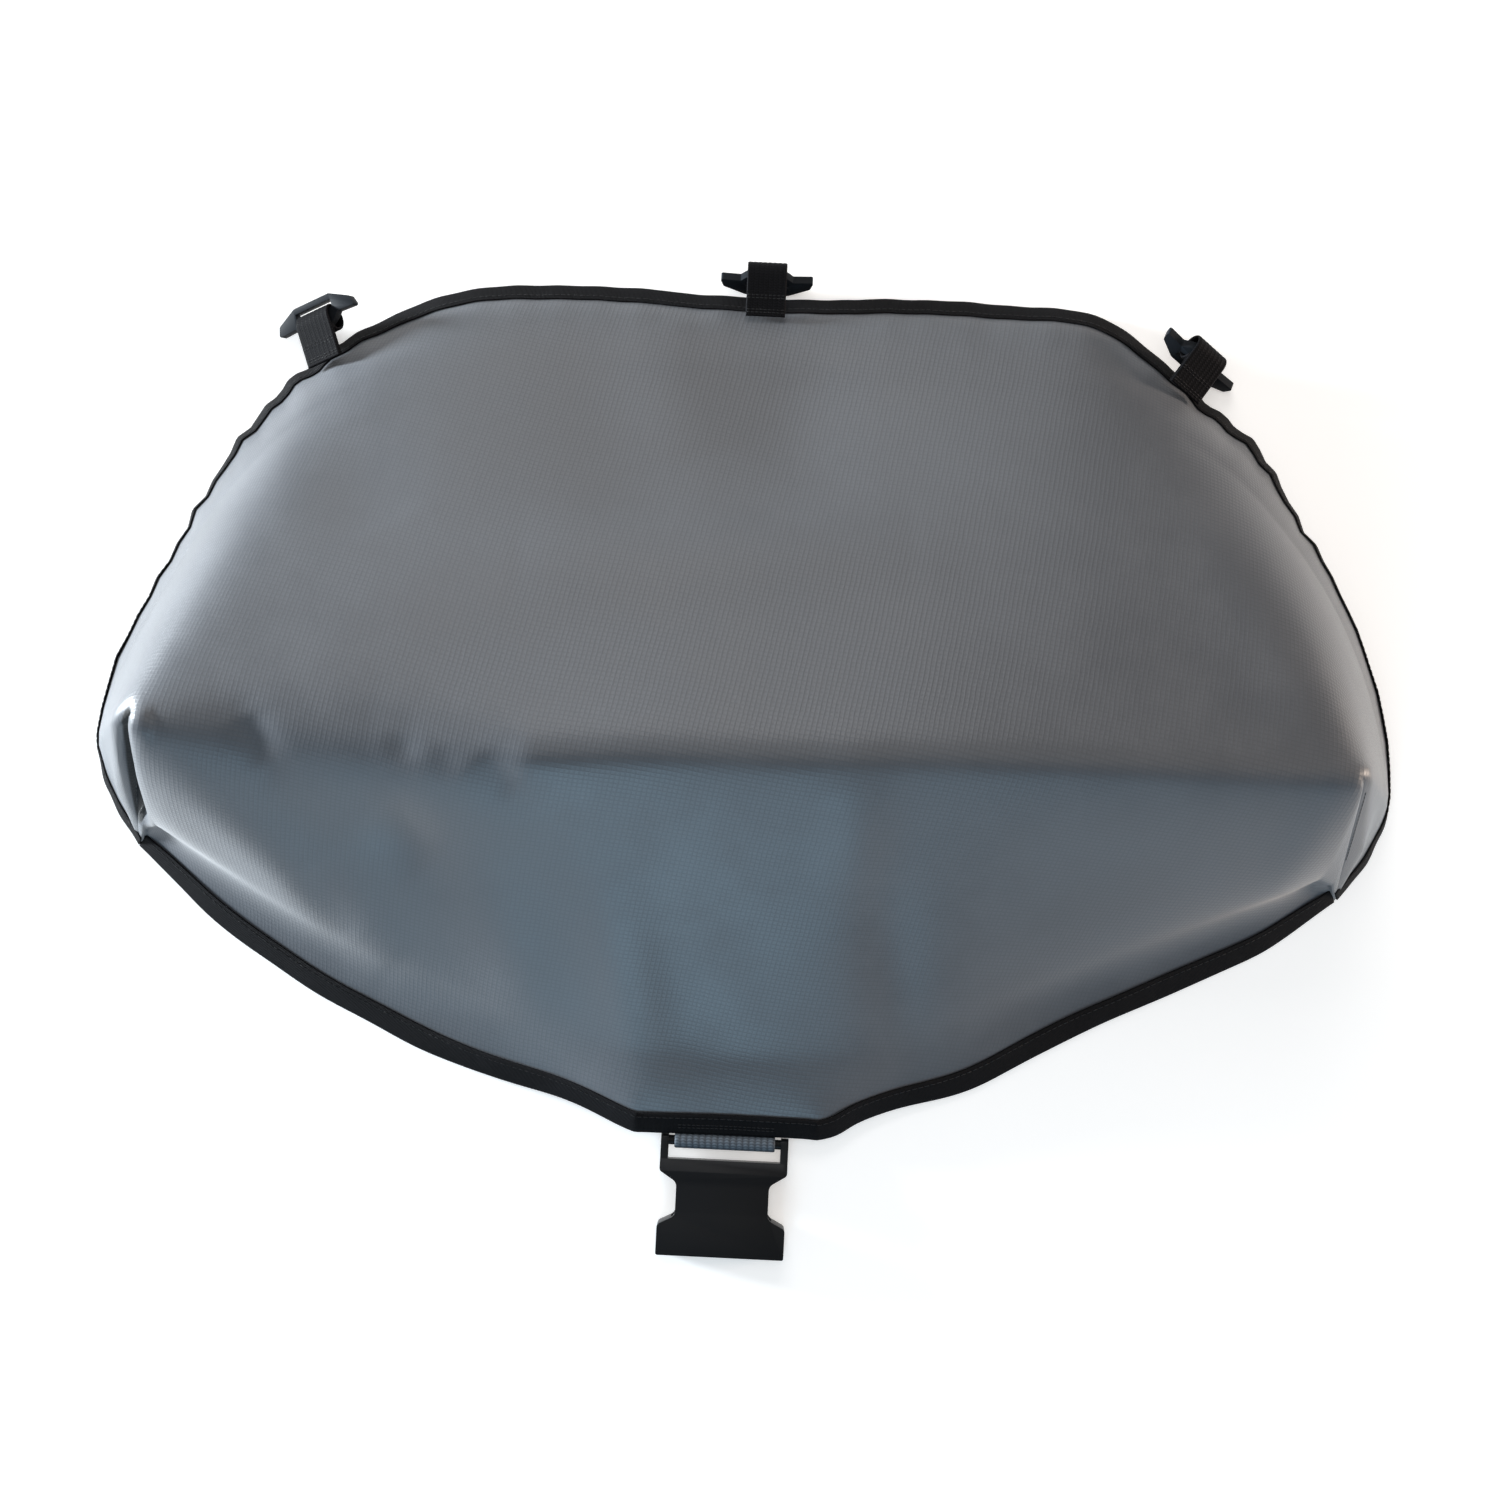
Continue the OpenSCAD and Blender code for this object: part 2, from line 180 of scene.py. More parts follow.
class Recipe(Nodes):
    """One material's node tree, with a principled shader at its end."""

    def __init__(self, name: str) -> None:
        """Starts an empty tree for a material of that name."""
        self.material = bpy.data.materials.new(name)
        self.material.use_nodes = True
        super().__init__(self.material.node_tree)
        self.tree.nodes.clear()
        self.shader = self.add("ShaderNodeBsdfPrincipled", {}, {})
        self.add("ShaderNodeOutputMaterial", {}, {"Surface": self.shader.outputs["BSDF"]})

    def value(self, kind: str, settings: dict[str, Any], inputs: dict[Any, Any], output: Any = 0) -> Value:
        """Adds a node and wraps one of its outputs."""
        return Value(self, self.add(kind, settings, inputs).outputs[output])

    def mark(self, name: str) -> Value:
        """A number stored at the mesh's points."""
        return self.value("ShaderNodeAttribute", {"attribute_name": name}, {}, "Fac")

    def _mapped(self, place: Socket, turn: tuple[float, float, float]) -> Socket:
        """A place in metres, in millimetres and turned."""
        inputs = {"Vector": place, "Scale": (PER_METRE,) * 3, "Rotation": turn}
        return self.add("ShaderNodeMapping", {}, inputs).outputs["Vector"]

    def object_place(self, turn: tuple[float, float, float] = (0, 0, 0)) -> Socket:
        """Object coordinates in millimetres, turned."""
        return self._mapped(self.add("ShaderNodeTexCoord", {}, {}).outputs["Object"], turn)

    def cloth_place(self, turn: float = 0.0) -> tuple[Value, Value, Socket]:
        """Position on the cloth from its own map, in millimetres.

        Args:
            turn: the weave's turn on the cloth, in radians.

        Returns:
            The place across, the place along, and both as a vector.
        """
        uv = self.add("ShaderNodeUVMap", {"uv_map": "cloth"}, {}).outputs["UV"]
        mapped = self._mapped(uv, (0, 0, turn))
        parts = self.add("ShaderNodeSeparateXYZ", {}, {"Vector": mapped})
        return Value(self, parts.outputs["X"]), Value(self, parts.outputs["Y"]), mapped

    def noise(self, place: Any, scale: float, detail: float = 3.0, rough: float = 0.5) -> Value:
        """Smooth noise from 0 to 1."""
        inputs = {"Vector": place, "Scale": scale, "Detail": detail, "Roughness": rough}
        return self.value("ShaderNodeTexNoise", {}, inputs, "Fac")

    def blend(self, share: Any, first: Any, second: Any) -> Socket:
        """Mixes two colours by a share."""
        settings = {"data_type": "RGBA", "blend_type": "MIX"}
        return self.add("ShaderNodeMix", settings, {0: share, 6: first, 7: second}).outputs[2]

    def level(self, value: Value, low: float, high: float, to_low: float = 0, to_high: float = 1) -> Value:
        """Maps a range of a value to another, with soft ends."""
        inputs = {"Value": value, "From Min": low, "From Max": high, "To Min": to_low, "To Max": to_high}
        return self.value("ShaderNodeMapRange", {"interpolation_type": "SMOOTHSTEP"}, inputs)

    def bump(self, height: Value, distance: float) -> Socket:
        """A normal from a height in units of distance, in metres."""
        inputs = {"Height": height, "Distance": distance, "Strength": 1.0}
        return self.add("ShaderNodeBump", {}, inputs).outputs["Normal"]

    def finish(self, **sockets: Any) -> Material:
        """Sets the shader's sockets, named with underscores for spaces, and returns the material."""
        for name, value in sockets.items():
            self.feed(self.shader.inputs[name.replace("_", " ")], value)
        return self.material


def paint(colour: Colour) -> tuple[float, float, float, float]:
    """A linear colour from display values of 0 to 255."""
    linear = [c / 255 / 12.92 if c <= 10 else ((c / 255 + 0.055) / 1.055) ** 2.4 for c in colour]
    return (*linear, 1.0)


def paler(colour: Colour, by: float) -> Colour:
    """A display colour made paler, up to white."""
    return tuple(min(255, c + by) for c in colour)


# ---------------------------------------------------------------- finishes


@dataclass(frozen=True)
class CoatedFabric:
    """Grey PVC film over a square scrim of polyester yarn, in millimetres; relief in metres."""

    yarn_pitch: float = 2.26
    yarn_narrow: float = 6
    yarn_share: float = 0.34
    yarn_stray: float = 1.2
    grain_turn: float = math.radians(10)
    cell_share: float = 0.18
    film: Colour = (76, 79, 84)
    film_pale: Colour = (82, 85, 90)
    yarn: Colour = (64, 67, 73)
    # painted shade: near-black colour for the left dart's pleat, where shade falls
    painted_pleat_shade: Colour = (9, 9, 10)
    shine: float = 0.42
    relief: float = 0.00008
    sheen: float = 0.26
    sheen_rough: float = 0.4

    def make(self) -> Material:
        """Builds the material."""
        r = Recipe("coated_fabric")
        across, along, flat = r.cloth_place(self.grain_turn)
        stray = (r.noise(flat, 0.05, 2.0) - 0.5) * self.yarn_stray
        warp, weft = ((way + stray).ribs(self.yarn_pitch) ** self.yarn_narrow for way in (across, along))
        yarns = warp.most(weft)
        cell = r.noise(flat, 0.9, 2.0)
        patchy = r.noise(flat, 0.018, 4.0, 0.6)
        base = r.blend(r.level(patchy, 0.35, 0.7), paint(self.film), paint(self.film_pale))
        base = r.blend(yarns * self.yarn_share, base, paint(self.yarn))
        base = r.blend(r.level(cell, 0.45, 0.8) * self.cell_share, base, paint(self.film_pale))
        height = yarns * 0.5 + warp * weft * 0.25 + r.noise(flat, 5.5, 2.0) * 0.22
        # painted shade: the left dart's pleat is darkened to near black, and made rougher
        inside = r.level(r.mark("painted_pleat_shade"), 0.55, 1.0)
        base = r.blend(inside, base, paint(self.painted_pleat_shade))
        gloss = r.level(patchy, 0.3, 0.75, self.shine - 0.04, self.shine + 0.06)
        return r.finish(
            Base_Color=base,
            Roughness=gloss + yarns * 0.05 + inside * 0.35,
            Normal=r.bump(height, self.relief),
            Specular_IOR_Level=0.5,
            Sheen_Weight=self.sheen,
            Sheen_Roughness=self.sheen_rough,
        )


@dataclass(frozen=True)
class RibbedTape:
    """Black binding tape with fine ribs across it, in millimetres; relief in metres."""

    rib_pitch: float = 0.65
    face: Colour = (19, 19, 21)
    # groove: painted shade in the grooves between the ribs
    groove: Colour = (7, 7, 8)
    lint: Colour = (31, 31, 34)
    worn: Colour = (28, 28, 31)
    relief: float = 0.00018
    shine_level: float = 0.06

    def make(self) -> Material:
        """Builds the material."""
        r = Recipe("binding_tape")
        along, _, flat = r.cloth_place()
        ribs = along.ribs(self.rib_pitch)
        fuzz = r.noise(flat, 1.4)
        # painted shade: darker in the grooves between the ribs
        base = r.blend(ribs, paint(self.groove), paint(self.face))
        base = r.blend(r.level(fuzz, 0.4, 0.8) * 0.35, base, paint(self.lint))
        base = r.blend(r.level(r.noise(flat, 0.05), 0.5, 0.75) * 0.3, base, paint(self.worn))
        return r.finish(
            Base_Color=base,
            Roughness=r.level(fuzz, 0.3, 0.7, 0.6, 0.78),
            Normal=r.bump(ribs * 0.8 + fuzz * 0.3, self.relief),
            Specular_IOR_Level=self.shine_level,
        )


@dataclass(frozen=True)
class WovenBand:
    """Woven webbing with ribs along it and a slanted weave on each rib, in millimetres; relief in metres."""

    name: str
    face: Colour
    # groove: painted shade in the valleys of the weave
    groove: Colour
    rib_pitch: float = 2.5
    weave_pitch: float = 1.3
    rough: float = 0.55
    shine_level: float = 0.25
    lint_step: float = 22
    relief: float = 0.0002

    def make(self) -> Material:
        """Builds the material."""
        r = Recipe(self.name)
        across, along, flat = r.cloth_place()
        rib = across.ribs(self.rib_pitch)
        slant = (along + rib * 0.6).ribs(self.weave_pitch)
        fuzz = r.noise(flat, 2.2)
        # painted shade: darker in the valleys between the ribs and slants of the weave
        base = r.blend(slant * rib, paint(self.groove), paint(self.face))
        base = r.blend(r.level(fuzz, 0.45, 0.8) * 0.3, base, paint(paler(self.face, self.lint_step)))
        return r.finish(
            Base_Color=base,
            Roughness=r.level(fuzz, 0.3, 0.7, self.rough - 0.05, self.rough + 0.1),
            Normal=r.bump(rib * 0.6 + slant * 0.4 + fuzz * 0.25, self.relief),
            Specular_IOR_Level=self.shine_level,
        )


@dataclass(frozen=True)
class SewingThread:
    """Black twisted polyester thread; relief in metres."""

    face: Colour = (30, 30, 33)
    # painted shade in the grooves between the twisted plies
    twist_shade: Colour = (11, 11, 12)
    twist_turn: tuple[float, float, float] = (0.5, 0.6, 0.2)
    relief: float = 0.00008

    def make(self) -> Material:
        """Builds the material."""
        r = Recipe("sewing_thread")
        bands = {"wave_type": "BANDS", "bands_direction": "DIAGONAL"}
        place = r.object_place(self.twist_turn)
        twist = r.value("ShaderNodeTexWave", bands, {"Vector": place, "Scale": 1.6, "Distortion": 1.5}, "Fac")
        # painted shade: darker in the grooves of the twist
        base = r.blend(twist, paint(self.twist_shade), paint(self.face))
        return r.finish(
            Base_Color=base, Roughness=0.5, Normal=r.bump(twist, self.relief), Specular_IOR_Level=0.3
        )


@dataclass(frozen=True)
class MouldedPlastic:
    """Black moulded plastic, satin on its faces and polished along its edges, whose colour is lighter and
    bluer, partly for wear and partly as a painted highlight; grain in metres.
    """

    name: str
    face: Colour
    # edge colour: lighter and bluer, partly wear and partly a painted highlight
    edge: Colour
    rough: float
    edge_rough: float
    shine_level: float
    grain: float = 0.00002
    spread: float = 0.04
    pale_step: float = 8

    def make(self) -> Material:
        """Builds the material."""
        r = Recipe(self.name)
        fine = r.noise(r.object_place(), 1.8, rough=0.6)
        broad = r.noise(r.object_place(), 0.06)
        # edges: colour partly wear and partly a painted highlight; roughness polished
        edge = r.mark("edge_wear_and_highlight")
        base = r.blend(edge, paint(self.face), paint(self.edge))
        base = r.blend(r.level(broad, 0.5, 0.8) * 0.2, base, paint(paler(self.face, self.pale_step)))
        satin = r.level(broad, 0.3, 0.7, self.rough - self.spread, self.rough + self.spread)
        satin = satin + (fine - 0.5) * 0.08
        return r.finish(
            Base_Color=base,
            Roughness=satin * (1 - edge) + edge * self.edge_rough,
            Normal=r.bump(fine, self.grain),
            Specular_IOR_Level=self.shine_level,
        )


FABRIC = CoatedFabric()
TAPE = RibbedTape()
WEBBING = WovenBand("black_webbing", (22, 22, 25), (6, 6, 7), rough=0.62, shine_level=0.05)
STRAP = WovenBand("grey_webbing", (96, 106, 116), (56, 62, 70), rib_pitch=3.1)
THREAD = SewingThread()
# edge colours of toggle and buckle: partly wear and partly a painted highlight
TOGGLE = MouldedPlastic("toggle_plastic", (15, 15, 16), (38, 43, 49), 0.58, 0.34, 0.05)
BUCKLE = MouldedPlastic("buckle_plastic", (11, 11, 12), (26, 28, 31), 0.46, 0.22, 0.1)


# ---------------------------------------------------------------- meshes

PANEL_MERGE = 2e-5
RING_MERGE = 1e-7
CAD_MERGE = 2e-6
FLAT_ANGLE = math.radians(1.2)
BEVEL_ANGLE = math.radians(28)
SHARP_ANGLE = math.radians(35)
BEVEL_STEPS = 3
WEAR_AND_HIGHLIGHT_ANGLE = 0.35
WEAR_AND_HIGHLIGHT_REACH = 6
UP = np.array([0, 0, 1.0])
FLAT = np.array([1.0, 1.0, 0.0])
MIRROR = np.array([-1, 1, 1])



def linked(name: str, data: Any) -> Thing:
    """A new object of some data, at the origin of the scene."""
    made = bpy.data.objects.new(name, data)
    bpy.context.scene.collection.objects.link(made)
    return made


def smoothed(mesh: bpy.types.Mesh) -> None:
    """Shades every face of a mesh smoothly."""
    mesh.polygons.foreach_set("use_smooth", [True] * len(mesh.polygons))


@contextmanager
def editing(mesh: bpy.types.Mesh) -> Iterator[bmesh.types.BMesh]:
    """Opens a mesh for editing and writes it back afterwards."""
    bm = bmesh.new()
    bm.from_mesh(mesh)
    yield bm
    bm.to_mesh(mesh)
    bm.free()


def unit(v: Array) -> Array:
    """Vectors along the last axis, at length 1."""
    return v / np.maximum(np.linalg.norm(v, axis=-1, keepdims=True), 1e-12)


def distances(path: Array) -> Array:
    """The distance along a path of each of its points."""
    return np.concatenate([[0], np.cumsum(np.linalg.norm(np.diff(path, axis=0), axis=1))])


def girth(profile: Array) -> Array:
    """The distance round a closed profile of each of its points, and of the first again."""
    return distances(np.vstack([profile, profile[:1]]))


def sampled(path: Array, run: Array, at: Array) -> Array:
    """A path's places at given distances, where run holds the distance of each of its points."""
    return np.stack([np.interp(at, run, path[:, k]) for k in range(path.shape[1])], -1)


def even(path: Sequence[Spot], step: float) -> Array:
    """A path's points at even distances."""
    points = np.array(path, float)
    run = distances(points)
    return sampled(points, run, np.linspace(0, run[-1], max(2, int(run[-1] / step))))


def piece_from(
    name: str,
    points: Array,
    faces: Sequence[Sequence[int]],
    uvs: Array,
    merge: float,
    marks: dict[str, Array] | None = None,
) -> Thing:
    """Makes a mesh object at the origin.

    Args:
        name: the piece's name.
        points: its vertices, in metres.
        faces: vertex numbers of each face.
        uvs: a cloth position for each vertex, in metres.
        merge: how near two vertices are when they become one, in metres.
        marks: a number for each vertex under each attribute's name.

    Returns:
        The linked object.
    """
    mesh = bpy.data.meshes.new(name)
    mesh.from_pydata([tuple(map(float, p)) for p in points], [], [tuple(map(int, f)) for f in faces])
    layer = mesh.uv_layers.new(name="cloth")
    corners = np.empty(len(mesh.loops), np.int32)
    mesh.loops.foreach_get("vertex_index", corners)
    layer.data.foreach_set("uv", uvs[corners].astype(np.float32).ravel())
    for key, numbers in (marks or {}).items():
        mesh.attributes.new(key, "FLOAT", "POINT").data.foreach_set("value", numbers.astype(np.float32))
    with editing(mesh) as bm:
        bmesh.ops.remove_doubles(bm, verts=bm.verts, dist=merge)
        bmesh.ops.dissolve_degenerate(bm, edges=bm.edges, dist=merge)
    mesh.validate()
    smoothed(mesh)
    return linked(name, mesh)


def baked(obj: Thing, name: str) -> Thing:
    """A plain smooth mesh object of what an object's modifiers make; the object itself is removed."""
    graph = bpy.context.evaluated_depsgraph_get()
    found = obj.evaluated_get(graph)
    mesh = bpy.data.meshes.new_from_object(found, preserve_all_data_layers=True, depsgraph=graph)
    mesh.name = name
    mesh.transform(obj.matrix_world)
    bpy.data.objects.remove(obj)
    smoothed(mesh)
    return linked(name, mesh)


def quads(columns: int, rows: int, flip: bool = False) -> list[tuple[int, int, int, int]]:
    """Faces of a grid whose points are numbered column by column.

    Args:
        columns: points along the first direction.
        rows: points along the second direction.
        flip: whether the faces look the other way.

    Returns:
        The faces as vertex numbers.
    """
    made = []
    for i in range(columns - 1):
        for j in range(rows - 1):
            a = i * rows + j
            face = (a, a + rows, a + rows + 1, a + 1)
            made.append(face[::-1] if flip else face)
    return made


def swept(name: str, rings: Array, along: Array, around: Array) -> Thing:
    """A closed band from rings of points, with capped ends.

    Args:
        name: the piece's name.
        rings: points of each ring, as rings by profile points by 3, in metres.
        along: the distance of each ring along the band.
        around: the distance of each profile point round the profile, with one more for the last.

    Returns:
        The linked object.
    """
    n, m = rings.shape[:2]
    wrapped = np.concatenate([rings, rings[:, :1]], 1)
    uv = np.stack(np.meshgrid(along, around, indexing="ij"), -1)
    faces = quads(n, m + 1)
    first = list(range(m))
    last = [(n - 1) * (m + 1) + j for j in range(m)]
    faces += [first, last[::-1]]
    made = piece_from(name, wrapped.reshape(-1, 3), faces, uv.reshape(-1, 2), RING_MERGE)
    with editing(made.data) as bm:
        bmesh.ops.recalc_face_normals(bm, faces=bm.faces)
    return made


def dress(obj: Thing, material: Material, slot: Slot, body: str, *nodes: str ) -> Thing:
    """Gives a piece its finish and body, and the CAD nodes that it stands for."""
    obj.data.materials.clear()
    obj.data.materials.append(material)
    if body:
        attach(obj, body)
    if nodes:
        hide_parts(*nodes)
    log.info("%s: %d faces on %s", obj.name, len(obj.data.polygons), body or "two bodies")
    return obj


# ---------------------------------------------------------------- the cover's shape


@dataclass(frozen=True)
class Station:
    """One section of the cover through its ridge, in millimetres, front hem at y = 0.

    A place is a distance from the middle along the ridge; share is how far up the dart leg the section starts
    where it is past the dart's tip. Slopes are in degrees at the hem, and a knee is where the section bends.
    """

    place: float
    front_hem: Spot
    front_slope: float
    front_knee: tuple[float, float, float]
    rear_hem: Spot
    rear_slope: float
    rear_knee: tuple[float, float, float]
    share: float = -1.0


STATIONS = (
    Station(0, (0, 0), 26, (0, 48, 27), (0, 420), 40, (0, 350, 36)),
    Station(42, (38, 0), 26, (40, 48, 27), (42, 421), 40, (42, 350, 36)),
    Station(56, (50, 2.5), 25, (54, 50, 27), (56, 422), 40, (56, 351, 36)),
    Station(95, (86, 21), 22, (90, 67, 28), (100, 423), 40, (95, 354, 38)),
    Station(140, (128, 39), 20, (132, 84, 28), (150, 419), 42, (140, 357, 38)),
    Station(172, (162, 53), 16, (165, 98, 31), (188, 404), 46, (170, 361, 36)),
    Station(200, (194, 67), 18, (195, 109, 35), (222, 383), 52, (202, 359, 34)),
    Station(225, (222, 81), 20, (222, 119, 38), (252, 354), 60, (230, 341, 40)),
    Station(246, (246, 93), 24, (245, 128, 42), (284, 309), 68, (257, 302, 62)),
    Station(262, (264, 103), 28, (261, 134, 45), (308, 266), 71, (273, 261, 81)),
    Station(275, (278, 113), 32, (274, 139, 46), (323, 224), 74, (283, 230, 95)),
    Station(283, (288, 121), 36, (284, 143, 42), (326, 188), 74, (290, 198, 99)),
    Station(0, (295, 127), 40, (294, 140, 25), (316, 156), 64, (305, 160, 38), share=0.5),
    Station(0, (301, 132), 44, (301, 132, 0), (301, 132), 58, (301, 132, 0), share=0.0),
)


@dataclass(frozen=True)
class Fold:
    """A ridge or groove in the fabric, as a line in plan with a width and a height, in millimetres."""

    start: Spot
    end: Spot
    width: float
    height: float
    end_share: float = 0.35
    end_power: float = 0.7

    def lift(self, places: Array) -> Array:
        """How far the fold lifts each place of the plan."""
        a, b = np.array(self.start, float), np.array(self.end, float)
        line = b - a
        length = max(float(np.linalg.norm(line)), 1e-6)
        along = np.clip((places - a) @ line / length**2, 0, 1)
        gap = np.linalg.norm(places - (a + along[..., None] * line), axis=-1) / self.width
        taper = self.end_share + (1 - self.end_share) * np.sin(math.pi * along) ** self.end_power
        return self.height * taper * np.exp(-(gap**2))


@dataclass(frozen=True)
class Pull:
    """A part of the cover that lies off its even outline, in millimetres in plan."""

    place: Spot
    reach: float
    move: Spot

    def shift(self, places: Array) -> Array:
        """How far each place of the plan is moved."""
        gap = np.linalg.norm(places - np.array(self.place, float), axis=-1) / self.reach
        return np.exp(-(gap**2))[..., None] * np.array(self.move, float)


@dataclass
class CoverShape:
    """The cover's middle surface, and the frames of its hem, in millimetres of the part's own frame."""

    ridge_w: float = 566
    ridge_h: float = 124
    tip_h: float = 104
    design_ridge: float = 283
    ridge_y: float = 198
    y_mid: float = 188.775
    tape_half: float = 1.55
    tape_edge: float = 1.05
    strap_lift: float = 6.2
    lift_span: float = 80
    hem_reach: float = 28
    crest_reach: float = 9
    reach_share: float = 0.7
    crest_share: float = 0.12
    crest_drop: float = 1.6
    foot_slope: float = 60
    dense_columns: int = 1200
    hem_weight: float = 0.6
    section_steps: int = 14
    straight_stations: int = 3
    columns: int = 225
    front_rows: int = 60
    rear_rows: int = 74
    settle_rounds: int = 90
    settle_columns: int = 16
    settle_rows: int = 10
    settle_free: int = 4
    settle_fall: float = 2.5
    soft_ridge: tuple[float, float, float, float] = (-281, -240, -170, -98)
    soft_rounds: int = 60
    soft_rows: tuple[int, int] = (18, 10)
    soft_limit: float = 270
    crease_ease: float = 0.03
    ridge_shift: float = -10
    ridge_span: float = 50
    pucker_l: float = 21
    pucker_depth: float = 1.1
    pucker_rows: float = 9
    pucker_end: float = 40
    pucker_at: tuple[float, ...] = (-320, -290, -225, -195, 200, 228, 275, 310)
    pucker_share: tuple[float, ...] = (0.35, 1, 1, 0.15, 0.15, 1, 1, 0.35)
    fold_rows: float = 6
    fold_columns: float = 10
    inner_row: int = 3
    tip_column: int = 0
    folds: tuple[Fold, ...] = ()
    pulls: tuple[Pull, ...] = ()
    grids: dict[Edge, Array] = field(default_factory=dict)

    def __post_init__(self) -> None:
        """Works out both grids."""
        for edge in Edge:
            self.grids[edge] = self._settled(self._grid(edge))
        for grid in self.grids.values():
            off = (grid[..., 1] - self.ridge_y + self.y_mid) / self.ridge_span
            grid[..., 1] += self.ridge_shift * np.exp(-(off**2))
            grid[..., :2] += sum((p.shift(grid[..., :2]) for p in self.pulls), np.zeros((*grid.shape[:2], 2)))
        self._soften_ridge()
        self._pucker()
        self._shape()

    def _hem(self, spot: Spot, slope: float) -> Array:
        """A point of the hem, at the height where the tape's lowest edge touches the ground."""
        angle = math.radians(slope)
        height = self.tape_edge * math.sin(angle) + self.tape_half * math.cos(angle)
        if spot[1] < self.ridge_y:
            height += self.strap_lift * math.exp(-((spot[0] / self.lift_span) ** 4))
        return np.array([spot[0], spot[1] - self.y_mid, height])

    def _line(self, s: Station) -> Array:
        """The point of the ridge or of the dart leg that a station's section ends at."""
        foot = self._hem(STATIONS[-1].front_hem, self.foot_slope)
        tip = np.array([self.ridge_w / 2, self.ridge_y - self.y_mid, self.tip_h])
        if s.share >= 0:
            return foot * (1 - s.share) + tip * s.share
        x = s.place / self.design_ridge
        return np.array([x * self.ridge_w / 2, tip[1], self.ridge_h - (self.ridge_h - self.tip_h) * x * x])

    def _controls(self, s: Station, edge: Edge) -> Array:
        """A section's five control points, from the hem to the ridge."""
        hem, slope, knee = s.rear_hem, s.rear_slope, s.rear_knee
        if edge is Edge.FRONT:
            hem, slope, knee = s.front_hem, s.front_slope, s.front_knee
        line = self._line(s)
        if s.share == 0:
            return np.array([line] * 5)
        h = self._hem(hem, slope)
        q = np.array([knee[0], knee[1] - self.y_mid, knee[2]])
        angle = math.radians(slope)
        inward = unit((q - h) * FLAT)
        reach = min(self.hem_reach, self.reach_share * float(np.linalg.norm(q - h)))
        away = (q - line) * FLAT
        crest = min(self.crest_reach, self.crest_share * float(np.linalg.norm(away)))
        rise = h + reach * (math.cos(angle) * inward + math.sin(angle) * UP)
        shoulder = line + crest * unit(away) - self.crest_drop * crest / self.crest_reach * UP
        return np.array([h, rise, q, shoulder, line])

    def _all_controls(self, edge: Edge) -> Array:
        """The controls of every section from the left dart's foot to the right one's."""
        right = np.array([self._controls(s, edge) for s in STATIONS])
        return np.concatenate([right[:0:-1] * MIRROR, right])

    def _between(self, controls: Array, at: Array) -> Array:
        """Controls at fractional stations: on smooth curves, but straight between stations by the darts."""
        n = len(controls)
        i = np.clip(at.astype(int), 0, n - 2)
        t = (at - i)[:, None, None]
        a, b, c, d = (controls[np.clip(i + k, 0, n - 1)] for k in (-1, 0, 1, 2))
        square, cube = (2 * a - 5 * b + 4 * c - d) * t**2, (3 * b - a - 3 * c + d) * t**3
        round_way = 0.5 * (2 * b + (c - a) * t + square + cube)
        by_dart = (np.minimum(i, n - 2 - i) < self.straight_stations)[:, None, None]
        straight = b + (c - b) * t
        straight[:, 0] = round_way[:, 0]
        return np.where(by_dart, straight, round_way)

    def _section(self, p: Array) -> Array:
        """Points of sections from their controls: straight at both ends, with three round bends between."""
        mids = [(p[:, k] + p[:, k + 1]) / 2 for k in range(4)]
        parts = []
        stretches = [(p[:, 0], (p[:, 0] + mids[0]) / 2, mids[0])]
        stretches += [(mids[k], p[:, k + 1], mids[k + 1]) for k in range(3)]
        stretches += [(mids[3], (mids[3] + p[:, 4]) / 2, p[:, 4])]
        for n, (a, b, c) in enumerate(stretches):
            t = np.linspace(0, 1, self.section_steps + 1)[None, (0 if n == 0 else 1) :, None]
            a, b, c = a[:, None], b[:, None], c[:, None]
            parts.append((1 - t) ** 2 * a + 2 * t * (1 - t) * b + t**2 * c)
        return np.concatenate(parts, 1)

    def _grid(self, edge: Edge) -> Array:
        """The grid of one side of the ridge, columns by rows, rows from the hem to the ridge."""
        dense = np.linspace(0, 2 * len(STATIONS) - 2, self.dense_columns)
        front = self._between(self._all_controls(Edge.FRONT), dense)
        width = self._steps(front[:, 4]) + self.hem_weight * self._steps(front[:, 0])
        run = np.concatenate([[0], np.cumsum(width)])
        at = np.interp(np.linspace(0, run[-1], self.columns), run, dense)
        rows = self.front_rows if edge is Edge.FRONT else self.rear_rows
        made = []
        for column in self._section(self._between(self._all_controls(edge), at)):
            reach = distances(column)
            made.append(sampled(column, reach, np.linspace(0, reach[-1], rows)))
        return np.array(made)

    @staticmethod
    def _steps(path: Array) -> Array:
        """The lengths between a path's points."""
        return np.linalg.norm(np.diff(path, axis=0), axis=1)

    @staticmethod
    def _eased(grid: Array) -> Array:
        """Inner columns of a grid, each averaged with its neighbours."""
        return (grid[:-2] + 2 * grid[1:-1] + grid[2:]) / 4

    def _settled(self, grid: Array) -> Array:
        """The grid with its inner rows eased along the ridge, so that no bend of the hem runs inwards."""
        columns, rows = grid.shape[:2]
        i, j = np.arange(columns), np.arange(rows)
        left_tip = np.array([-self.ridge_w / 2, self.ridge_y - self.y_mid, self.tip_h])
        self.tip_column = int(np.argmin(np.linalg.norm(grid[: columns // 2, -1] - left_tip, axis=1)))
        share = np.clip((np.minimum(i, i[::-1]) - self.tip_column) / self.settle_columns, 0, 1)[:, None]
        inner = np.minimum(j - self.settle_free, j[::-1] * self.settle_fall)
        share = share * np.clip(inner / self.settle_rows, 0, 1)[None]
        for _ in range(self.settle_rounds):
            grid[1:-1] += share[1:-1, :, None] * (self._eased(grid) - grid[1:-1])
        return grid

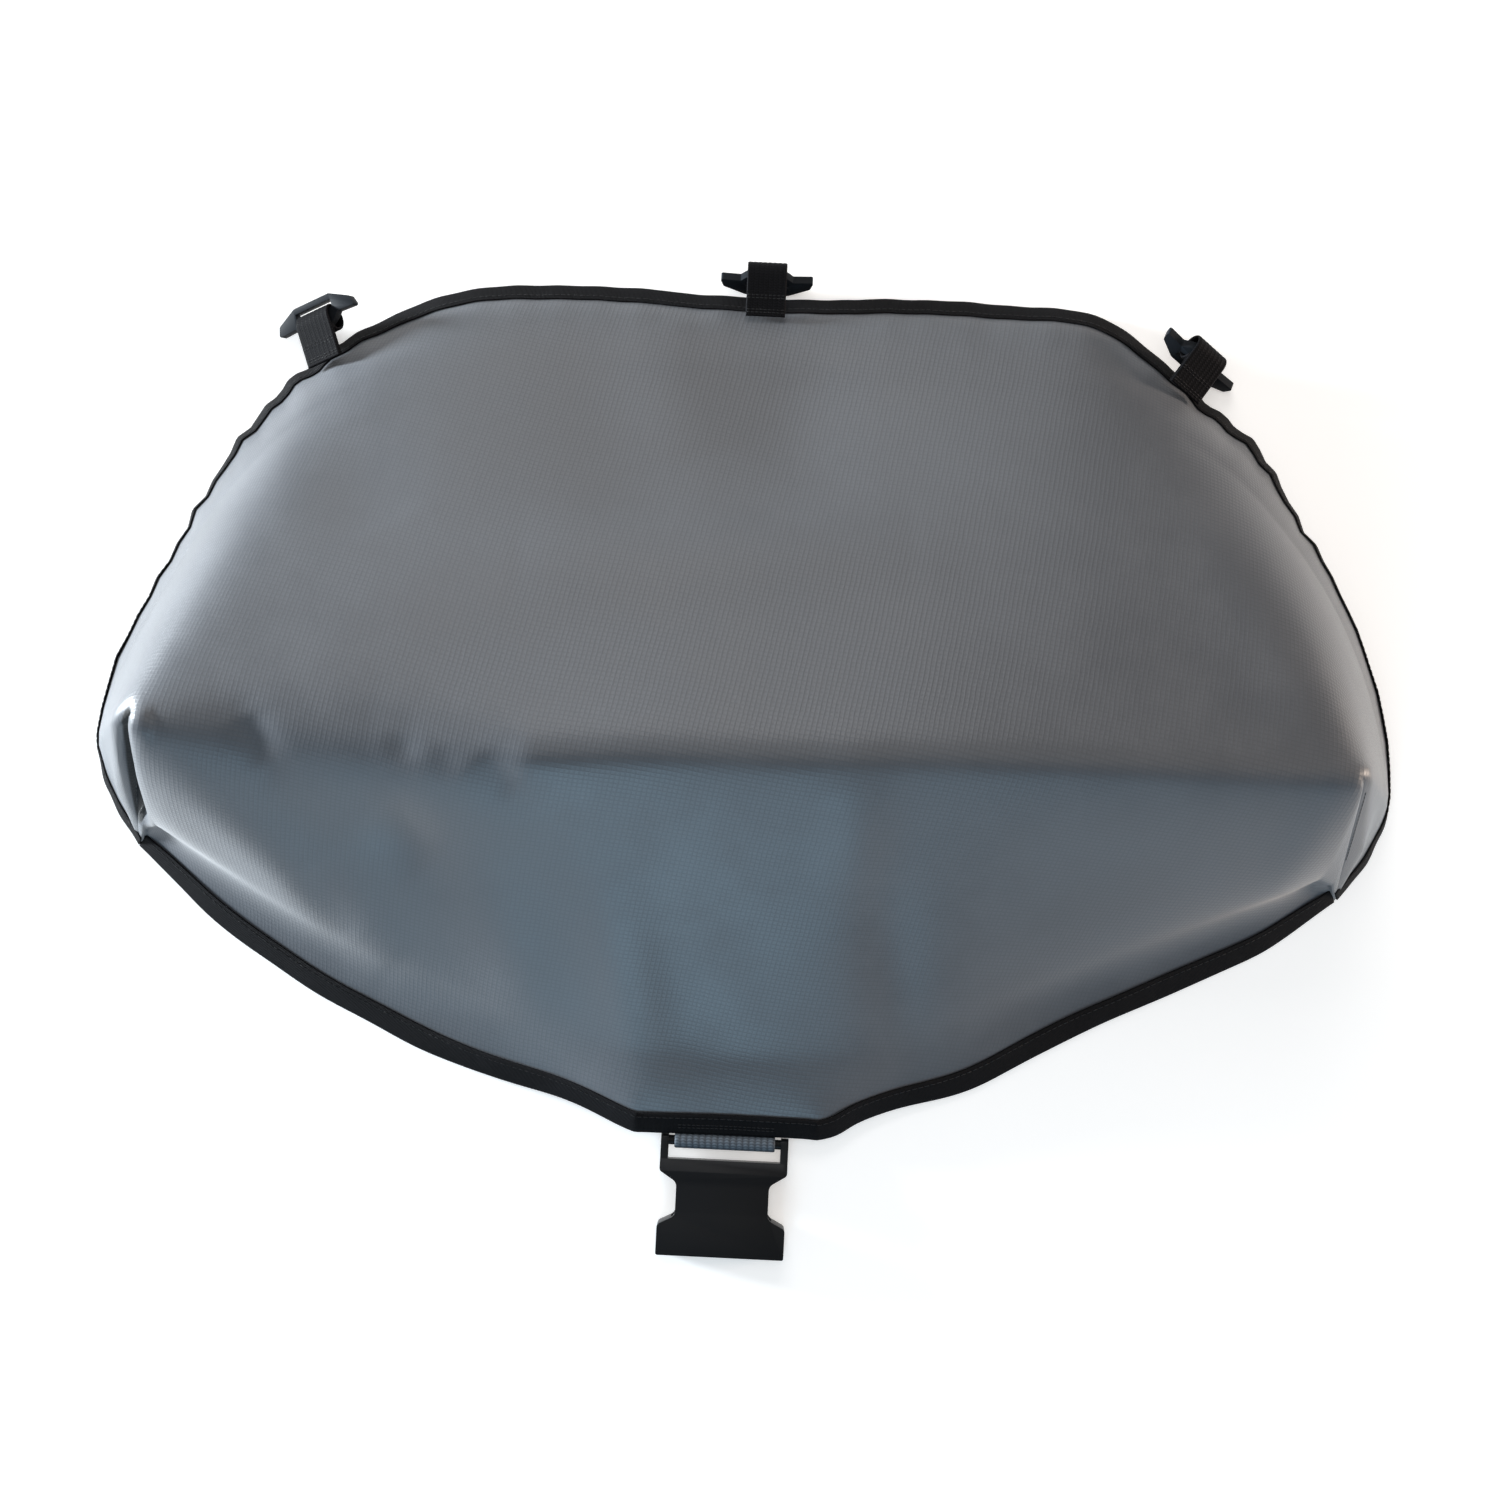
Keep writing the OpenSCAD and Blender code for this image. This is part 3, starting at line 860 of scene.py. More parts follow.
    def _pucker(self) -> None:
        """Draws the rear hem in and out a little where its tape is gathered round the shoulders."""
        grid = self.grids[Edge.REAR]
        hem = grid[:, 0]
        run = distances(hem)
        wave = np.sin(run / self.pucker_l * 2 * math.pi) + 0.5 * np.sin(run / self.pucker_l * 3.3 + 1.0)
        share = np.interp(hem[:, 0], self.pucker_at, self.pucker_share)
        out = np.cross(unit(np.gradient(hem, axis=0)), UP)
        fall = np.exp(-((np.arange(grid.shape[1]) / self.pucker_rows) ** 2))
        ends = np.clip(np.minimum(run, run[-1] - run) / self.pucker_end, 0, 1)
        depth = (self.pucker_depth * wave * share * ends)[:, None, None]
        grid[..., :2] += depth * fall[None, :, None] * out[:, None, :2]

    def _soften_ridge(self) -> None:
        """Rounds the crease off along the left part of the ridge, where the cloth isn't creased."""
        front, rear = self.grids[Edge.FRONT], self.grids[Edge.REAR]
        whole = np.concatenate([front, rear[:, -2::-1]], 1)
        place = front[:, -1, 0]
        share = np.interp(place, self.soft_ridge, (0, 1, 1, self.crease_ease))[:, None]
        gap = np.abs(np.arange(whole.shape[1]) - (front.shape[1] - 1))
        near = np.clip((self.soft_rows[0] - gap) / self.soft_rows[1], 0, 1)[None]
        share = (share * near * (np.abs(place) < self.soft_limit)[:, None])[:, 1:-1, None]
        for _ in range(self.soft_rounds):
            eased = (whole[:, :-2] + 2 * whole[:, 1:-1] + whole[:, 2:]) / 4
            whole[:, 1:-1] += share * (eased - whole[:, 1:-1])
        self.grids[Edge.FRONT] = whole[:, : front.shape[1]].copy()
        self.grids[Edge.REAR] = whole[:, : front.shape[1] - 2 : -1].copy()

    def _shape(self) -> None:
        """Lifts the folds out of both grids, along the surface's own direction and less at the hem."""
        raised = {}
        for edge, grid in self.grids.items():
            i = np.arange(self.columns)
            clear = np.clip(np.arange(grid.shape[1]) / self.fold_rows, 0, 1) ** 1.5
            ends = np.clip(np.minimum(i, i[::-1]) / self.fold_columns, 0, 1)
            total = sum((f.lift(grid[..., :2]) for f in self.folds), np.zeros(grid.shape[:2]))
            raised[edge] = grid + (total * clear[None] * ends[:, None])[..., None] * self.normals(edge)
        seam = (raised[Edge.FRONT][:, -1] + raised[Edge.REAR][:, -1]) / 2
        for edge in Edge:
            raised[edge][:, -1] = seam
            self.grids[edge] = raised[edge]

    def normals(self, edge: Edge) -> Array:
        """Outward directions of a grid."""
        grid = self.grids[edge]
        a, b = np.gradient(grid, axis=0), np.gradient(grid, axis=1)
        return unit(np.cross(a, b) * (1 if edge is Edge.FRONT else -1))

    def cloth_map(self, edge: Edge) -> Array:
        """Lengths on the cloth from the middle column and from the ridge, in metres."""
        grid = self.grids[edge]
        across = np.linalg.norm(np.diff(grid, axis=0), axis=2)
        across = np.concatenate([np.zeros((1, grid.shape[1])), np.cumsum(across, 0)])
        across -= across[self.columns // 2]
        along = np.linalg.norm(np.diff(grid, axis=1), axis=2)
        along = np.concatenate([np.zeros((grid.shape[0], 1)), np.cumsum(along, 1)], 1)
        along = (along[:, -1:] - along) * (-1 if edge is Edge.FRONT else 1)
        return np.stack([across, along], -1) * MM

    def hem_frames(self, edge: Edge, step: float, trim: float) -> tuple[Array, ...]:
        """Evenly spaced frames along a hem.

        Args:
            edge: which stretch of the hem.
            step: the distance between two frames.
            trim: the distance left free at each end.

        Returns:
            Points, inward directions, outward directions and distances along the hem.
        """
        grid = self.grids[edge]
        hem = grid[:, 0]
        run = distances(hem)
        at = np.arange(trim, run[-1] - trim, step)
        point = sampled(hem, run, at)
        along = unit(np.gradient(point, axis=0))
        inward = sampled(grid[:, self.inner_row], run, at) - point
        inward = unit(inward - (inward * along).sum(1, keepdims=True) * along)
        outside = np.cross(along, inward) * (1 if edge is Edge.FRONT else -1)
        return point, inward, outside, at


PULLS = (
    Pull((-130, -148), 62, (-5.0, -10.8)),
    Pull((-215, -112), 66, (-5.5, -9.6)),
    Pull((116, -155), 45, (3.2, -7.0)),
    Pull((52, -186), 10, (2.0, -1.5)),
    Pull((-304, 85), 60, (6.8, -3.2)),
    Pull((-115, 0), 70, (0.0, -8.0)),
    Pull((10, 0), 60, (0.0, -3.5)),
    Pull((40, 233), 120, (0.0, 2.0)),
    Pull((172, 222), 34, (3.4, 6.4)),
    Pull((252, 163), 18, (3.0, 2.2)),
)

FOLDS = (
    # the front panel rolls over towards each dart and the hem
    Fold((-279, -12), (-168, -114), 22, 5.0),
    Fold((-272, -38), (-190, -112), 13, -1.6),
    Fold((279, 2), (262, -60), 14, 1.2),
    # the open pleat of the left dart and the folded edge of the right one
    Fold((-285, 1), (-293, -46), 3.6, -15.0),
    # soft upright folds of the front panel
    Fold((-60, -64), (-42, -158), 16, 2.0),
    Fold((-28, -84), (-20, -150), 17, -1.4),
    Fold((50, -14), (56, -62), 15, 1.8),
    Fold((68, -58), (86, -140), 16, -2.0),
    Fold((-170, -38), (-146, -62), 15, -2.8),
    Fold((-118, -70), (-96, -140), 18, 1.4),
    Fold((-206, -66), (-186, -98), 12, -1.8),
    # dents along the ridge's left half
    Fold((-229, 1), (-218, -18), 9, -2.8),
    Fold((-152, -4), (-156, -16), 8, -1.2),
    Fold((-136, -8), (-132, -22), 8, -0.9),
    Fold((-119, -13), (-104, -28), 10, -2.0),
    # waves of the rear panel
    Fold((-109, 84), (74, 98), 22, 2.2),
    Fold((-57, 214), (-34, 140), 26, 1.5),
    Fold((26, 208), (14, 130), 26, -1.2),
    Fold((-206, 150), (-176, 96), 26, -1.8),
    Fold((215, 208), (262, 150), 12, -2.0),
    Fold((-236, 184), (-262, 124), 14, -1.6),
)


@dataclass
class Cover:
    """The panel, its bindings and the rows of thread through them."""

    shape: CoverShape
    panel_t: float = 1.0
    binding_w: float = 12
    tape_t: float = 0.8
    tape_gap: float = 0.25
    seam_inset: float = 2.5
    stitch_pitch: float = 3.2
    frame_step: float = 1.6
    end_trim: float = 0.15
    thread_trim: float = 7.0
    strap_clear: float = 36
    strap_fade: float = 20
    pinch: float = 0.10
    pinch_w: float = 1.6
    lip_from: float = 4
    lip_span: float = 7
    wave_l: Spot = (23.0, 9.1)
    wave_share: float = 0.7
    wave_turn: float = 1.3
    lip_wave: float = 0.25
    fold_wave: float = 0.35
    thread_lift: float = 0.05
    thread_sink: float = 0.02
    dart_trim: int = 9
    dart_inset: int = 3
    flat: Spot = (0.79, 0.49)
    flat_area: float = 0.280
    body: str = "cover"
    # where painted shade darkens the left dart's pleat
    painted_pleat_shade: Fold = Fold((-283, 2), (-296, -48), 3.4, 2.6)

    def panel(self, floor: Thing) -> Thing:
        """The panel as one continuous sheet over both sides of the ridge."""
        points, uvs, faces, pleat_shade_marks = [], [], [], []
        for edge in Edge:
            grid = self.shape.grids[edge]
            start = sum(len(p) for p in points)
            points.append(grid.reshape(-1, 3) * MM)
            uvs.append(self.shape.cloth_map(edge).reshape(-1, 2))
            # how deep each point lies in the painted shade of the pleat
            pleat_shade_marks.append(self.painted_pleat_shade.lift(grid[..., :2].reshape(-1, 2)))
            found = quads(*grid.shape[:2], flip=edge is Edge.REAR)
            faces += [tuple(start + v for v in f) for f in found]
        marks = {"painted_pleat_shade": np.concatenate(pleat_shade_marks)}
        panel = piece_from(
            "skirt_fabric", np.concatenate(points), faces, np.concatenate(uvs), PANEL_MERGE, marks
        )
        wall = panel.modifiers.new("wall", "SOLIDIFY")
        wall.thickness, wall.offset = self.panel_t * MM, 0.0
        dress(panel, FABRIC.make(), Slot.FABRIC, self.body, "skirt_panel")
        return panel

    def _profile(self) -> Array:
        """The folded tape's closed section: lower lip, round the fold, upper lip and back inside."""
        out = self.panel_t / 2 + self.tape_gap + self.tape_t
        lip = self.binding_w - (self.tape_gap + self.tape_t)
        inner = out - self.tape_t
        pts = [(x, -out) for x in (lip - 0.3, lip * 0.72, lip * 0.4, 1.2)]
        pts += [(-math.cos(a) * out * 0.72 + 0.06, math.sin(a) * out) for a in np.linspace(-1.2, 1.2, 7)]
        pts += [(x, out) for x in (1.2, lip * 0.4, lip * 0.72, lip - 0.3)]
        pts += [(lip, out - 0.3), (lip, inner + 0.1), (lip * 0.5, inner), (0.6, inner * 0.8), (0.1, 0)]
        pts += [(0.6, -inner * 0.8), (lip * 0.5, -inner), (lip, -inner - 0.1), (lip, -out + 0.3)]
        return np.array(pts)

    def binding(self, edge: Edge, material: Material) -> Thing:
        """One length of folded tape along its stretch of the hem, slightly drawn in at each stitch."""
        point, inward, outside, at = self.shape.hem_frames(edge, self.frame_step, self.end_trim)
        profile = self._profile()
        seam = self.binding_w - self.tape_gap - self.tape_t - self.seam_inset
        near_seam = np.exp(-(((profile[:, 0] - seam) / self.pinch_w) ** 2))
        near_lip = np.clip((profile[:, 0] - self.lip_from) / self.lip_span, 0, 1)
        dip = 0.5 + 0.5 * np.cos(2 * math.pi * at / self.stitch_pitch)
        slow = np.sin(at / self.wave_l[0]) + self.wave_share * np.sin(at / self.wave_l[1] + self.wave_turn)
        if edge is Edge.FRONT:
            slow *= np.clip((np.abs(point[:, 0]) - self.strap_clear) / self.strap_fade, 0, 1)
        x = profile[None, :, 0] + slow[:, None] * (self.lip_wave * near_lip[None] - self.fold_wave)
        z = profile[None, :, 1] * (1 - self.pinch * (dip[:, None] * near_seam[None]))
        rings = point[:, None] + x[..., None] * inward[:, None] + z[..., None] * outside[:, None]
        made = swept(f"binding_tape_{edge.value}", rings * MM, at * MM, girth(profile) * MM)
        return dress(made, material, Slot.TAPE, self.body, f"binding_{edge.value}")

    def dart_line(self, right: bool) -> Array:
        """The row of thread down one dart, beside its seam on the rear panel, in metres."""
        grid, face = self.shape.grids[Edge.REAR], self.shape.normals(Edge.REAR)
        tip = self.shape.tip_column
        leg = slice(self.dart_trim, tip - 2)
        row = -1 - self.dart_inset
        line = (grid[:, row] + (self.panel_t / 2 + self.thread_lift) * face[:, row]) * MM
        return line[::-1][leg] if right else line[leg]

    def seam_lines(self, edge: Edge) -> list[Array]:
        """The rows of thread through a binding, above and below the panel, in metres."""
        point, inward, outside, _ = self.shape.hem_frames(edge, self.frame_step, self.thread_trim)
        inset = self.binding_w - self.tape_gap - self.tape_t - self.seam_inset
        out = self.panel_t / 2 + self.tape_gap + self.tape_t - self.thread_sink
        return [(point + inset * inward + side * out * outside) * MM for side in (1, -1)]


# ---------------------------------------------------------------- stitches


@dataclass
class StitchMaker:
    """Rows of separate stitches, made by one node tree that follows a line."""

    thread_r: float = 0.24
    stitch_l: float = 2.7
    longest: float = 0.86
    pitch: float = 3.2
    scatter: float = 0.06
    seed: int = 7
    tree: bpy.types.GeometryNodeTree | None = None
    sockets: dict[str, str] = field(default_factory=dict)

    def __post_init__(self) -> None:
        """Builds the node tree once."""
        self.tree = bpy.data.node_groups.new("stitch_rows", "GeometryNodeTree")
        add, face = Nodes(self.tree).add, self.tree.interface

        def three(value: Socket) -> Socket:
            """A vector of one value three times."""
            return add("ShaderNodeCombineXYZ", {}, {"X": value, "Y": value, "Z": value}).outputs[0]

        for name, kind in (
            ("Lines", "NodeSocketGeometry"),
            ("Pitch", "NodeSocketFloat"),
            ("Stitch length", "NodeSocketFloat"),
            ("Thread radius", "NodeSocketFloat"),
            ("Scatter", "NodeSocketFloat"),
            ("Thread", "NodeSocketMaterial"),
        ):
            self.sockets[name] = face.new_socket(name, in_out="INPUT", socket_type=kind).identifier
        face.new_socket("Stitches", in_out="OUTPUT", socket_type="NodeSocketGeometry")
        inside = add("NodeGroupInput", {}, {}).outputs
        curve = add("GeometryNodeMeshToCurve", {}, {"Mesh": inside["Lines"]}).outputs["Curve"]
        apart = {"Curve": curve, "Length": inside["Pitch"]}
        spaced = add("GeometryNodeResampleCurve", {"mode": "LENGTH"}, apart)
        ball = add("GeometryNodeMeshUVSphere", {}, {"Segments": 8, "Rings": 6, "Radius": 1.0}).outputs["Mesh"]
        times = {"operation": "MULTIPLY"}
        half = add("ShaderNodeMath", times, {0: inside["Stitch length"], 1: 0.5}).outputs[0]
        radius = inside["Thread radius"]
        size = add("ShaderNodeCombineXYZ", {}, {"X": radius, "Y": radius, "Z": half}).outputs[0]
        stitch = add("GeometryNodeTransform", {}, {"Geometry": ball, "Scale": size}).outputs["Geometry"]
        tangent = add("GeometryNodeInputTangent", {}, {}).outputs[0]
        aim = add("FunctionNodeAlignEulerToVector", {"axis": "Z"}, {"Vector": tangent}).outputs[0]
        low = add("ShaderNodeMath", times, {0: inside["Scatter"], 1: -1.0}).outputs[0]
        spread = add(
            "FunctionNodeRandomValue",
            {"data_type": "FLOAT_VECTOR"},
            {"Min": three(low), "Max": three(inside["Scatter"]), "Seed": self.seed},
        ).outputs[0]
        turned = add("FunctionNodeRotateEuler", {"space": "LOCAL"}, {"Rotation": aim, "Rotate By": spread})
        placed = add(
            "GeometryNodeInstanceOnPoints",
            {},
            {"Points": spaced.outputs["Curve"], "Instance": stitch, "Rotation": turned.outputs[0]},
        ).outputs["Instances"]
        real = add("GeometryNodeRealizeInstances", {}, {"Geometry": placed}).outputs["Geometry"]
        black = add("GeometryNodeSetMaterial", {}, {"Geometry": real, "Material": inside["Thread"]})
        add("NodeGroupOutput", {}, {"Stitches": black.outputs["Geometry"]})

    def sew(
        self,
        name: str,
        lines: Iterable[Array],
        material: Material,
        body: str,
        *nodes: str,
        pitch: float = 0.0,
    ) -> Thing:
        """Sews stitches along lines.

        Args:
            name: the piece's name.
            lines: rows of points, in metres.
            material: the thread's finish.
            body: the body that the stitches ride on, or nothing.
            nodes: the CAD nodes that they stand for.
            pitch: the distance between two stitches in millimetres, where it isn't the usual one.

        Returns:
            The stitches as one plain mesh.
        """
        points, edges = [], []
        for line in lines:
            start = len(points)
            points += [tuple(map(float, p)) for p in line]
            edges += [(start + k, start + k + 1) for k in range(len(line) - 1)]
        guide = bpy.data.meshes.new(f"{name}_guide")
        guide.from_pydata(points, edges, [])
        obj = linked(f"{name}_guide", guide)
        rows = obj.modifiers.new("rows", "NODES")
        rows.node_group = self.tree
        used = pitch or self.pitch
        for key, value in (
            ("Pitch", used * MM),
            ("Stitch length", min(self.stitch_l, used * self.longest) * MM),
            ("Thread radius", self.thread_r * MM),
            ("Scatter", self.scatter),
            ("Thread", material),
        ):
            rows[self.sockets[key]] = value
        return dress(baked(obj, name), material, Slot.THREAD, body, *nodes)


# ---------------------------------------------------------------- bands of webbing


@dataclass(frozen=True)
class Band:
    """A flat woven band: its width, thickness and the ribs along it, in millimetres."""

    width: float
    thick: float
    ribs: int
    across: int = 49
    rib_depth: float = 0.20

    def rings(self, path: Array) -> tuple[Array, Array, Array]:
        """The band's rings along a path in the plane across its width.

        Args:
            path: points of the band's middle line as y and z, in millimetres.

        Returns:
            The rings, and the distances along and around them.
        """
        x = np.linspace(-self.width / 2, self.width / 2, self.across)
        phase = math.pi * self.ribs * (x / self.width + 0.5) + math.pi / 2
        ribs = 1 - self.rib_depth + self.rib_depth * np.abs(np.cos(phase)) ** 0.7
        edge = np.clip((self.width / 2 - np.abs(x)) / 0.6, 0, 1) ** 0.5
        half = self.thick / 2 * ribs * (0.35 + 0.65 * edge)
        section = np.concatenate([np.stack([x, half], -1), np.stack([x, -half], -1)[::-1]])
        tangent = unit(np.gradient(path, axis=0))
        normal = np.stack([-tangent[:, 1], tangent[:, 0]], -1)
        ring = np.empty((len(path), len(section), 3))
        ring[..., 0] = section[None, :, 0]
        ring[..., 1] = path[:, None, 0] + normal[:, None, 0] * section[None, :, 1]
        ring[..., 2] = path[:, None, 1] + normal[:, None, 1] * section[None, :, 1]
        return ring, distances(path), girth(section) - self.width / 2


def banded(name: str, band: Band, path: Array, place: Matrix) -> Thing:
    """A band along a path, put in its place. Its cloth map runs across and then along the band."""
    ring, along, around = band.rings(path)
    flat = (np.array(place.to_3x3()) @ ring.reshape(-1, 3).T).T + np.array(place.translation)
    made = swept(name, flat.reshape(ring.shape) * MM, along * MM, around * MM)
    layer = made.data.uv_layers["cloth"]
    uv = np.empty(2 * len(made.data.loops), np.float32)
    layer.data.foreach_get("uv", uv)
    layer.data.foreach_set("uv", np.ascontiguousarray(uv.reshape(-1, 2)[:, ::-1]).ravel())
    return made


def moulded(name: str, node: str, bevel: float) -> Thing:
    """A CAD node's shape with its edges rounded, and the mask of each edge's wear and painted highlight.

    Args:
        name: the piece's name.
        node: the CAD node.
        bevel: the width of the rounding, in millimetres.

    Returns:
        The linked object.
    """
    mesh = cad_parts[node].data.copy()
    mesh.name = name
    with editing(mesh) as bm:
        bmesh.ops.remove_doubles(bm, verts=bm.verts, dist=CAD_MERGE)
        bmesh.ops.dissolve_limit(bm, angle_limit=FLAT_ANGLE, verts=bm.verts, edges=bm.edges)
    obj = linked(name, mesh)
    round_off = obj.modifiers.new("rounded_edges", "BEVEL")
    round_off.width, round_off.segments = bevel * MM, BEVEL_STEPS
    round_off.limit_method, round_off.angle_limit = "ANGLE", BEVEL_ANGLE
    round_off.miter_outer = "MITER_ARC"
    made = baked(obj, name)
    made.data.set_sharp_from_angle(angle=SHARP_ANGLE)
    mark_edges(made, bevel * MM)
    return made


def mark_edges(obj: Thing, size: float) -> None:
    """Stores how close each vertex is to a rounded edge: 1 on the rounding, 0 on the flats."""
    bm = bmesh.new()
    bm.from_mesh(obj.data)
    # worn holds the mask of edge wear and painted highlight
    worn = np.zeros(len(bm.verts), np.float32)
    for v in bm.verts:
        if v.link_faces:
            areas = [f.calc_area() for f in v.link_faces]
            spread = max((v.normal.angle(f.normal, 0.0) for f in v.link_faces), default=0.0)
            worn[v.index] = min(1.0, spread / WEAR_AND_HIGHLIGHT_ANGLE) if min(areas) < (WEAR_AND_HIGHLIGHT_REACH * size) ** 2 else 0.0
    bm.free()
    store = obj.data.attributes.new("edge_wear_and_highlight", "FLOAT", "POINT")
    store.data.foreach_set("value", worn)


# ---------------------------------------------------------------- webbing loops and toggles


@dataclass
class Tab:
    """A loop of webbing sewn over the rear hem, and the toggle that hangs in it, in millimetres."""

    place: Place
    centre: tuple[float, float, float]
    yaw: float
    roll: float
    rise: float
    loop_r: float = 5.6
    webbing_t: float = 1.4
    webbing_w: float = 20
    webbing_l: float = 21
    webbing_ribs: int = 8
    path_step: float = 0.7
    turn_points: int = 60
    under_cut: float = 0.4
    tack_rows: tuple[float, ...] = (2.0, 3.4, 9.2, 10.6)
    tack_inset: float = 1.5
    tack_sink: float = 0.05
    tack_steps: int = 8
    tack_pitch: float = 2.1
    bend_l: float = 7.0
    toggle_bevel: float = 0.9

    @property
    def matrix(self) -> Matrix:
        """From the tab's own directions to the part's frame."""
        made = Matrix.Translation(self.centre)
        for angle, axis in ((self.yaw, "Z"), (self.roll, "Y"), (self.rise, "X")):
            made = made @ Matrix.Rotation(math.radians(angle), 4, axis)
        return made

    def path(self) -> Array:
        """The webbing's middle line: out on top, round the toggle's keel and back under itself."""
        mid = self.loop_r + self.webbing_t / 2
        top, under = mid, mid - self.webbing_t
        meet = math.pi - math.asin(under / mid)
        turn = np.linspace(math.pi / 2, meet - 2 * math.pi, self.turn_points)
        points = [(-self.webbing_l, top), *((mid * math.cos(a), mid * math.sin(a)) for a in turn)]
        points += [(-self.webbing_l + self.under_cut, under)]
        return even(points, self.path_step)

    def build(self, webbing: Material, thread: Material, toggle: Material, stitches: StitchMaker) -> None:
        """Makes the webbing, its stitches and the toggle."""
        name, matrix, body = self.place.value, self.matrix, f"webbing_loop_{self.place.value}"
        woven = Band(self.webbing_w, self.webbing_t, self.webbing_ribs)
        band = banded(f"webbing_band_{name}", woven, self.path(), matrix)
        dress(band, webbing, Slot.WEBBING, "", f"webbing_{name}")
        sewn = -self.webbing_l
        height = self.loop_r
        start = matrix @ Vector((0, sewn, height)) * MM
        end = matrix @ Vector((0, sewn + self.bend_l, height)) * MM
        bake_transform(band)
        top = self.loop_r + self.webbing_t - self.tack_sink
        half = self.webbing_w / 2 - self.tack_inset
        shares = [k / self.tack_steps for k in range(self.tack_steps + 1)]
        lines = []
        for row in self.tack_rows:
            ends = [matrix @ Vector((side * half, sewn + row, top)) * MM for side in (-1, 1)]
            lines.append(np.array([list(ends[0].lerp(ends[1], share)) for share in shares]))
        rows = stitches.sew(
            f"webbing_thread_{name}", lines, thread, "", f"webbing_stitch_{name}", pitch=self.tack_pitch
        )
        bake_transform(rows)
        made = moulded(f"toggle_bar_{name}", f"toggle_{name}", self.toggle_bevel)
        dress(made, toggle, Slot.TOGGLE, f"toggle_{name}", f"toggle_{name}")


# ---------------------------------------------------------------- buckle


@dataclass
class BuckleEnd:
    """The strap under the front hem and the buckle's socket on it, in millimetres."""

    bar_y: float = -193.925
    bar_z: float = 6.5
    strap_w: float = 50
    strap_t: float = 1.2
    loop_r: float = 2.7
    strap_ribs: int = 16
    strap_points: int = 97
    rib_depth: float = 0.05
    path_step: float = 0.6
    turn_points: int = 44
    tail_l: float = 26
    slope: float = 10
    seam_rows: Spot = (3.0, 4.6)
    seam_lift: float = 1.56
    seam_inset: float = 1.5
    seam_pitch: float = 2.3
    frame_step: float = 1.0
    frame_trim: float = 5.0
    bevel: float = 0.7

    def path(self) -> Array:
        """The strap's middle line: out of the hem above, round the bar and back under the hem."""
        mid = self.loop_r + self.strap_t / 2
        low, high = -mid, -mid + self.strap_t
        start = math.asin(high / mid)
        turn = np.linspace(start, 2 * math.pi - math.pi / 2, self.turn_points)
        points = [(self.tail_l, high), *((mid * math.cos(a), mid * math.sin(a)) for a in turn)]
        points += [(self.tail_l, low)]
        return even(points, self.path_step)

    def build(
        self,
        shape: CoverShape,
        strap: Material,
        thread: Material,
        plastic: Material,
        stitches: StitchMaker,
    ) -> None:
        """Makes the strap, its stitches and the socket."""
        place = Matrix.Translation((0, self.bar_y, self.bar_z))
        matrix = place @ Matrix.Rotation(math.radians(self.slope), 4, "X")
        woven = Band(self.strap_w, self.strap_t, self.strap_ribs, self.strap_points, self.rib_depth)
        band = banded("buckle_strap_band", woven, self.path(), matrix)
        dress(band, strap, Slot.STRAP, "cover", "buckle_strap")
        point, inward, outside, _ = shape.hem_frames(Edge.FRONT, self.frame_step, self.frame_trim)
        middle = np.abs(point[:, 0]) < self.strap_w / 2 - self.seam_inset
        rows = [point + inset * inward + self.seam_lift * outside for inset in self.seam_rows]
        lines = [row[middle] * MM for row in rows]
        stitches.sew("strap_thread", lines, thread, "cover", "strap_stitch", pitch=self.seam_pitch)
        socket = moulded("buckle_shell", "buckle_socket", self.bevel)
        dress(socket, plastic, Slot.BUCKLE, "buckle", "buckle_socket")


# ---------------------------------------------------------------- studio


@dataclass(frozen=True)
class Lamp:
    """A soft area light aimed at a point, in metres and watts."""

    name: str
    place: tuple[float, float, float]
    aim: tuple[float, float, float]
    size: float
    power: float
    colour: Colour

    def light(self) -> None:
        """Adds the light to the scene."""
        data = bpy.data.lights.new(self.name, "AREA")
        data.shape, data.size, data.energy = "SQUARE", self.size, self.power
        data.color = self.colour
        place = Vector(self.place)
        turn = (Vector(self.aim) - place).to_track_quat("-Z", "Y").to_matrix().to_4x4()
        linked(self.name, data).matrix_world = Matrix.Translation(place) @ turn


